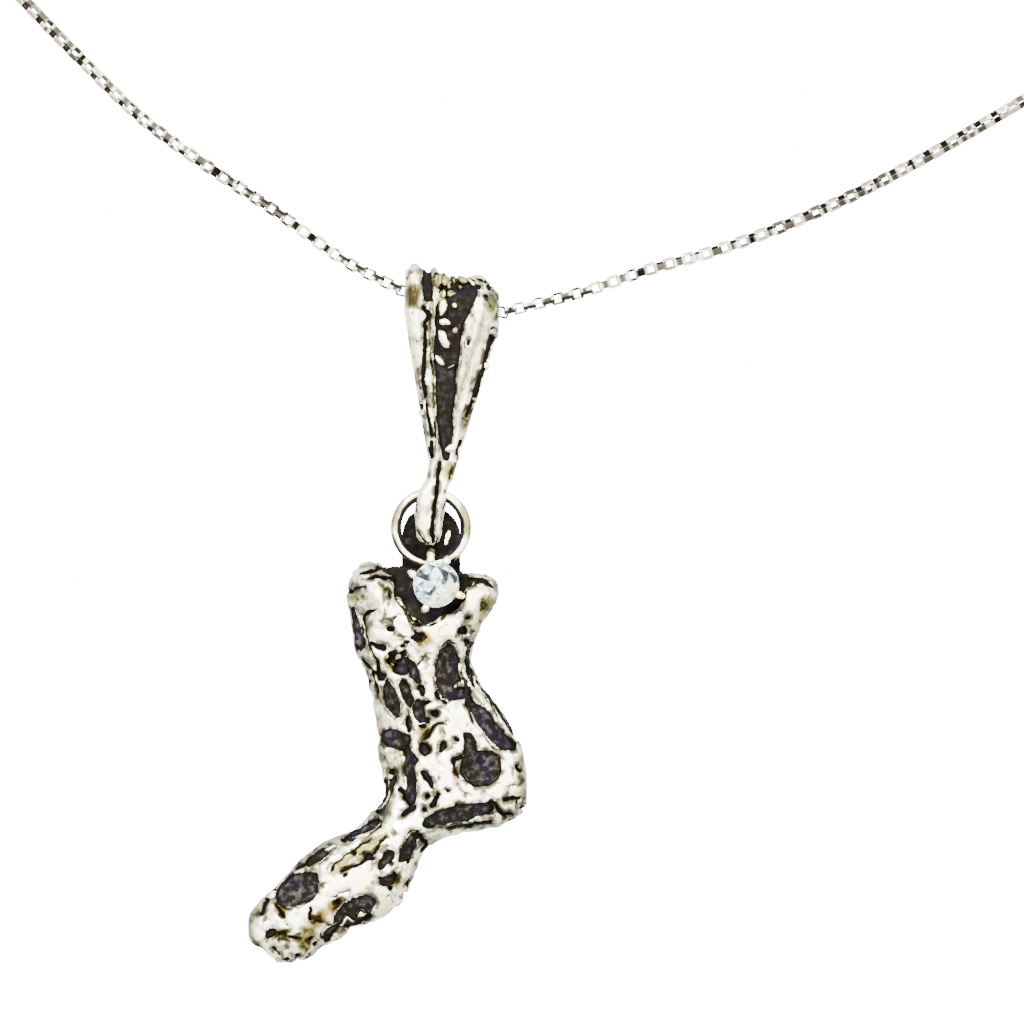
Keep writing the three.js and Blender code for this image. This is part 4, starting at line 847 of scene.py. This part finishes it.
def brilliant():
    """A round brilliant with each facet split into small triangles, each with a colour. The colours are the
    stone's pale blue in lighter and darker tones that paint the facets' reflections, dark slate reflections
    under the marks, and cream reflections more often towards the lower right.
    """
    half = GIRDLE_THICKNESS / 2
    inner = circle(8, 0.26 * STONE_RADIUS, -half - CROWN_HEIGHT)
    table = circle(8, 0.56 * STONE_RADIUS, -half - CROWN_HEIGHT, 0.5)
    star = circle(8, 0.79 * STONE_RADIUS, -half - 0.62 * CROWN_HEIGHT)
    crown = circle(16, 0.985 * STONE_RADIUS, -half)
    girdle = circle(16, 0.985 * STONE_RADIUS, half)
    tip = (0, half + 0.98 * PAVILION_DEPTH, 0)
    facets = [inner]
    for i in range(8):
        after, under = (i + 1) % 8, 2 * i
        facets += [[table[i], inner[after], inner[i]], [table[i], table[after], inner[after]]]
        facets += [[table[i], star[after], table[after]], [table[i], star[i], crown[under + 1], star[after]]]
        facets += [[star[i], crown[under], crown[under + 1]], [star[i], crown[under - 1], crown[under]]]
    for i in range(16):
        after = (i + 1) % 16
        facets += [[crown[i], girdle[i], girdle[after], crown[after]], [girdle[i], tip, girdle[after]]]
    points, faces, shades = [], [], []
    for facet in facets:
        middle = np.mean(facet, axis=0)
        for corner, following in zip(facet, [*facet[1:], facet[0]]):
            corners = np.array([corner, following, middle])
            x, _, z = corners.mean(axis=0)
            shade = STONE_TONES_AND_REFLECTIONS[stone_draw.choice(len(STONE_TONES_AND_REFLECTIONS), p=STONE_SHARES)]
            if least_gap(np.array([x]), np.array([z]), STONE_REFLECTION_MARKS, [])[0] < 0.08:
                shade = STONE_SLATE_REFLECTION
            elif stone_draw.uniform(0, 1.2) < (x - z) / STONE_RADIUS / 1.4:
                shade = STONE_CREAM_REFLECTION
            faces.append(tuple(range(len(points), len(points) + 3)))
            points += list(corners)
            shades += [(*lit(shade) * 1.5, 1)] * 3
    return np.array(points), faces, np.array(shades)


SEAT_TINT = (0.92, 0.94, 0.94)
PRONG_TINT = (1, 1, 0.96)
# Tones of the stone's pale blue, with dark slate and cream marks, that paint the reflections in its facets.
STONE_TONES_AND_REFLECTIONS = [(0.98, 1.0, 0.98), (0.74, 0.9, 0.92), (0.56, 0.73, 0.77), (0.38, 0.54, 0.58)]
STONE_SHARES = [0.38, 0.3, 0.2, 0.12]
STONE_SLATE_REFLECTION = (0.24, 0.33, 0.36)
STONE_CREAM_REFLECTION = (0.97, 0.92, 0.7)
STONE_REFLECTION_MARKS = [(-0.85, 0.6, 0.5, 0.16, -35), (-0.3, 0.95, 0.3, 0.1, -70), (0.55, 0.4, 0.45, 0.12, 80),
               (-0.25, -0.35, 0.3, 0.05, 50), (1.15, 0.5, 0.3, 0.12, -60)]
stone_draw = np.random.default_rng(3)


def stone_paint(paint):
    shade = paint.read("tint", "Color")
    cloud = paint.noise(0.5, 4.0).step(0.45, 0.62)
    pale = (cloud * 0.15).mix(shade, (0.58, 0.7, 0.7, 1))
    vein = paint.noise(0.8, 5.0).step(0.6, 0.66)
    return {"Base_Color": (vein * 0.7).mix(pale, (0.014, 0.024, 0.028, 1))}


def lathe(profile, steps):
    """A turned piece about the Y axis, from a closed profile of radius and depth."""
    points = [(r * math.cos(a), y, r * math.sin(a)) for a in turns(steps) for r, y in profile]
    return np.array(points), grid_faces(steps, len(profile))


pale_blue_stone = material("pale_blue_stone", stone_paint, Roughness=0.05, IOR=1.6,
                           Transmission_Weight=0.05, Specular_IOR_Level=0.06)
points, faces, shades = brilliant()
piece("stone.cut", "leg_body", ["stone"], pale_blue_stone, points + stone_middle, faces, tint=shades,
      smooth=False)

seat_profile = [(1.33, 0.21), (1.49, 0.21), (1.495, 0.43), (1.3, 0.62), (1.05, 0.95), (0.8, 0.95),
                (0.8, 0.68)]
points, faces = lathe(seat_profile, 48)
piece("stone_seat.cone", "leg_body", ["stone_seat"], ring_silver, points + stone_middle, faces,
      0.18 + 0.15 * grain(points, 0.5, 51), colours(points, SEAT_TINT))

stations = [(PRONG_RADIUS, HEAD_FLOOR), (PRONG_RADIUS, 0.6), (PRONG_RADIUS, 0.2),
            (PRONG_RADIUS - 0.02, -0.08), (STONE_RADIUS + 0.25, -0.28), (STONE_RADIUS + 0.14, -0.42),
            (STONE_RADIUS + 0.09, -0.54), (STONE_RADIUS + 0.06, -0.63), (STONE_RADIUS + 0.05, -0.68)]
radii = np.array([1, 1, 1, 1, 1.04, 1.12, 0.98, 0.66, 0.2]) * (PRONG_WIRE / 2 - PRONG_INSET)
for number, angle in enumerate(PRONG_ANGLES, 1):
    turn = math.radians(angle)
    path = [(r * math.cos(turn), y, r * math.sin(turn)) for r, y in stations]
    points, faces = tube(np.array(path) + stone_middle, radii, 16)
    tarnish = 0.3 - 0.4 * smoothstep(-0.25, 0.35, points[:, 1] - stone_middle[1])
    tarnish += 0.1 * grain(points, 0.3, 60 + number)
    piece(f"prong_{number}.wire", "leg_body", [f"prong_{number}"], ring_silver, points, faces, tarnish,
          colours(points, PRONG_TINT))

# Chain ends: a round ring of wire in the last link on each side. On the left it carries a spring ring
# clasp: a hollow ring of tube with a mouth, a sprung bolt that closes it, and a loop soldered on.

END_RADIUS = 1.15
END_WIRE = 0.38
END_INSET = 0.03
LOOP_RADIUS = 0.8
LOOP_WIRE = 0.4
LOOP_INSET = 0.01
CLASP_RADIUS = 2.2
CLASP_TUBE = 1.1
CLASP_INSET = 0.045
CLASP_BORE = 0.72
BOLT_WIRE = 0.58
BOLT_INSET = 0.005
BOLT_SPAN = (1, 85)
MOUTH = (4, 36)
THUMB_ANGLE = 50
BOLT_TRAVEL = 36
SLOT_EDGE = 6
THUMB_WIRE = 0.4
THUMB_TIP = CLASP_RADIUS + 1.0
SPRING_SPAN = (123, 148)
SPRING_WIRE = 0.1
SPRING_TURNS = 5
SPRING_PLAY = 0.04
END_PLAY = 0.04
LOOP_SOLDER = 0.08
END_TONE = (0.88, 0.86, 0.79)
ring_reach = (LINK_LENGTH - 2 * STRIP_THICKNESS - END_WIRE) / 2 - END_PLAY + END_RADIUS
loop_reach = ring_reach + END_RADIUS - (END_WIRE + LOOP_WIRE) / 2 - END_PLAY + LOOP_RADIUS
clasp_middle = np.array([loop_reach + LOOP_RADIUS + LOOP_SOLDER + CLASP_TUBE / 2 + CLASP_RADIUS, 0, 0])


def finished_end(name, body, replaced, points, faces, side="left", middle=None):
    """A piece at a chain's end, its points given in the frame that runs on from the last link."""
    tarnish = np.clip(0.1 + 0.2 * grain(points, 0.6, 71), 0, 1)
    if middle is not None:
        reach = np.linalg.norm(points - middle, axis=1)
        tarnish += 0.4 * smoothstep(reach.min() + 0.25 * (reach.max() - reach.min()), reach.min(), reach)
    piece(name, body, replaced, chain_silver, placed(points, *chain_ends[side]), faces, tarnish,
          colours(points, lit(END_TONE)))


def clasp_tube():
    """The clasp's hollow tube: its outside, its bore, its two mouths and the thumb piece's slot."""
    steps, sides = 164, 28
    span = (MOUTH[1], 360 + MOUTH[0])
    step = (span[1] - span[0]) / steps
    around = np.radians(np.linspace(*span, steps + 1))[:, None]
    outer, inner = [on_wire(CLASP_RADIUS, wire, around, turns(sides, 0.5)) + clasp_middle
                    for wire in (CLASP_TUBE - 2 * CLASP_INSET, CLASP_BORE)]
    first = round((THUMB_ANGLE - SLOT_EDGE - span[0]) / step)
    last = round((THUMB_ANGLE + BOLT_TRAVEL + SLOT_EDGE - span[0]) / step)
    slot = (sides - 2, sides - 1, 0)
    skin = [face for number, face in enumerate(grid_faces(steps + 1, sides, closed=False))
            if not (first <= number // sides < last and number % sides in slot)]
    faces = skin + [tuple(p + len(outer) for p in face[::-1]) for face in skin]
    walls = [(i * sides + j, i * sides + (j + 1) % sides) for i in (0, steps) for j in range(sides)]
    walls += [(i * sides + j, (i + 1) * sides + j) for i in range(first, last) for j in (1, sides - 2)]
    walls += [(i * sides + j, i * sides + (j + 1) % sides) for i in (first, last) for j in slot]
    points = [*outer, *inner]
    for a, b in walls:
        faces.append(tuple(range(len(points), len(points) + 4)))
        points += [outer[a], outer[b], inner[b], inner[a]]
    return np.array(points), faces


points, faces = wire_ring(END_RADIUS, END_WIRE - 2 * END_INSET, 60, 16)
end_middle = np.array([ring_reach, 0, 0])
for side in SIDES:
    finished_end(f"{side}_end_ring.wire", f"{side}_chain_3", [f"{side}_end_ring"], points + end_middle,
                 faces, side, end_middle)
finished_end("clasp_body.tube", "left_chain_3", ["clasp_body"], *clasp_tube(), middle=clasp_middle)
points, faces = wire_ring(LOOP_RADIUS, LOOP_WIRE - 2 * LOOP_INSET, 48, 16)
finished_end("clasp_body.loop", "left_chain_3", [], points[:, [0, 2, 1]] + [loop_reach, 0, 0], faces)
bolt_path = on_wire(CLASP_RADIUS, 0, np.radians(np.linspace(*BOLT_SPAN, 41)), 0) + clasp_middle
bolt = tube(bolt_path, BOLT_WIRE / 2 - BOLT_INSET, 18)
finished_end("clasp_bolt.wire", "bolt_body", ["clasp_bolt"], *bolt)
knob = [(THUMB_TIP - 0.34, 0.2), (THUMB_TIP - 0.24, 0.25), (THUMB_TIP - 0.1, 0.3), (THUMB_TIP + 0.06, 0.29),
        (THUMB_TIP + 0.18, 0.2), (THUMB_TIP + 0.24, 0.08)]
reaches, radii = np.transpose([(CLASP_RADIUS, THUMB_WIRE / 2), (THUMB_TIP - 0.4, THUMB_WIRE / 2), *knob])
thumb_path = on_wire(reaches, 0, math.radians(THUMB_ANGLE), 0) + clasp_middle
finished_end("clasp_bolt.thumb", "bolt_body", [], *tube(thumb_path, radii, 18))


def steel_paint(paint):
    return {"Roughness": paint.noise(0.1) * 0.2 + 0.2}


spring_steel = material("spring_steel", steel_paint, Base_Color=(0.55, 0.55, 0.54, 1), Metallic=1.0)
coil = CLASP_BORE - SPRING_WIRE - 2 * SPRING_PLAY
around = np.radians(np.linspace(*SPRING_SPAN, 24 * SPRING_TURNS + 1))
helix = on_wire(CLASP_RADIUS, coil, around, np.linspace(0, 2 * math.pi * SPRING_TURNS, len(around)))
points, faces = tube(helix + clasp_middle, SPRING_WIRE / 2, 10)
piece("clasp_spring.wire", "left_chain_3", ["clasp_spring"], spring_steel,
      placed(points, *chain_ends["left"]), faces)

# Stage: a white floor and a white background, soft light from all round and strongest in front, and a
# long lens at the photograph's place.

PIXEL = 0.065
VIEW_WIDTH = 1024 * PIXEL * MM
VIEW_MIDDLE = Vector((3.87, 0, -13.68)) * MM
CAMERA_DISTANCE = 0.6
SENSOR = 36.0
FLOOR_DEPTH = 0.075
FLOOR_REACH = 3.0
BACKDROP = 16.0
SKY = 3.0
FRONT_GLOW = 10.0
BRIGHTEST = (0.12, -0.86, 0.5)
KEY_PLACE = Vector((-0.12, -0.32, 0.16))

world = bpy.data.worlds.new("studio")
world.use_nodes = True
sky = Paint(world.node_tree)
towards = {0: sky.node("TexCoord", "Generated", {}), 1: BRIGHTEST}
nearness = sky.node("VectorMath", "Value", towards, operation="DOT_PRODUCT")
glow = nearness.step(0.0, 0.8) * (FRONT_GLOW - SKY) + SKY
seen = sky.node("LightPath", "Is Camera Ray", {})
strength = glow + seen * (BACKDROP - glow)
background = world.node_tree.nodes["Background"]
background.inputs["Color"].default_value = (1, 1, 1, 1)
world.node_tree.links.new(strength.socket, background.inputs["Strength"])
bpy.context.scene.world = world

sheet = bpy.data.meshes.new("floor")
corners = [(-1, -1), (1, -1), (1, 1), (-1, 1)]
sheet.from_pydata([(x * FLOOR_REACH, y * FLOOR_REACH, -FLOOR_DEPTH) for x, y in corners], [], [(0, 1, 2, 3)])
sheet.materials.append(material("floor", Base_Color=(0.8, 0.8, 0.8, 1), Roughness=1.0,
                                Emission_Color=(1, 1, 1, 1), Emission_Strength=BACKDROP))
floor = added("floor", sheet)
floor.visible_glossy = False
floor.visible_diffuse = False

lamp = bpy.data.lights.new("key", "AREA")
lamp.size = 0.1
lamp.energy = 2.0
key = added("key", lamp)
key.location = KEY_PLACE
key.rotation_euler = (VIEW_MIDDLE - KEY_PLACE).to_track_quat("-Z", "Y").to_euler()

view = bpy.data.cameras.new("camera")
view.sensor_width = SENSOR
view.lens = SENSOR * CAMERA_DISTANCE / VIEW_WIDTH
view.clip_start = 0.01
camera = added("camera", view)
camera.location = VIEW_MIDDLE - Vector((0, CAMERA_DISTANCE, 0))
camera.rotation_euler = (math.pi / 2, 0, 0)
bpy.context.scene.camera = camera
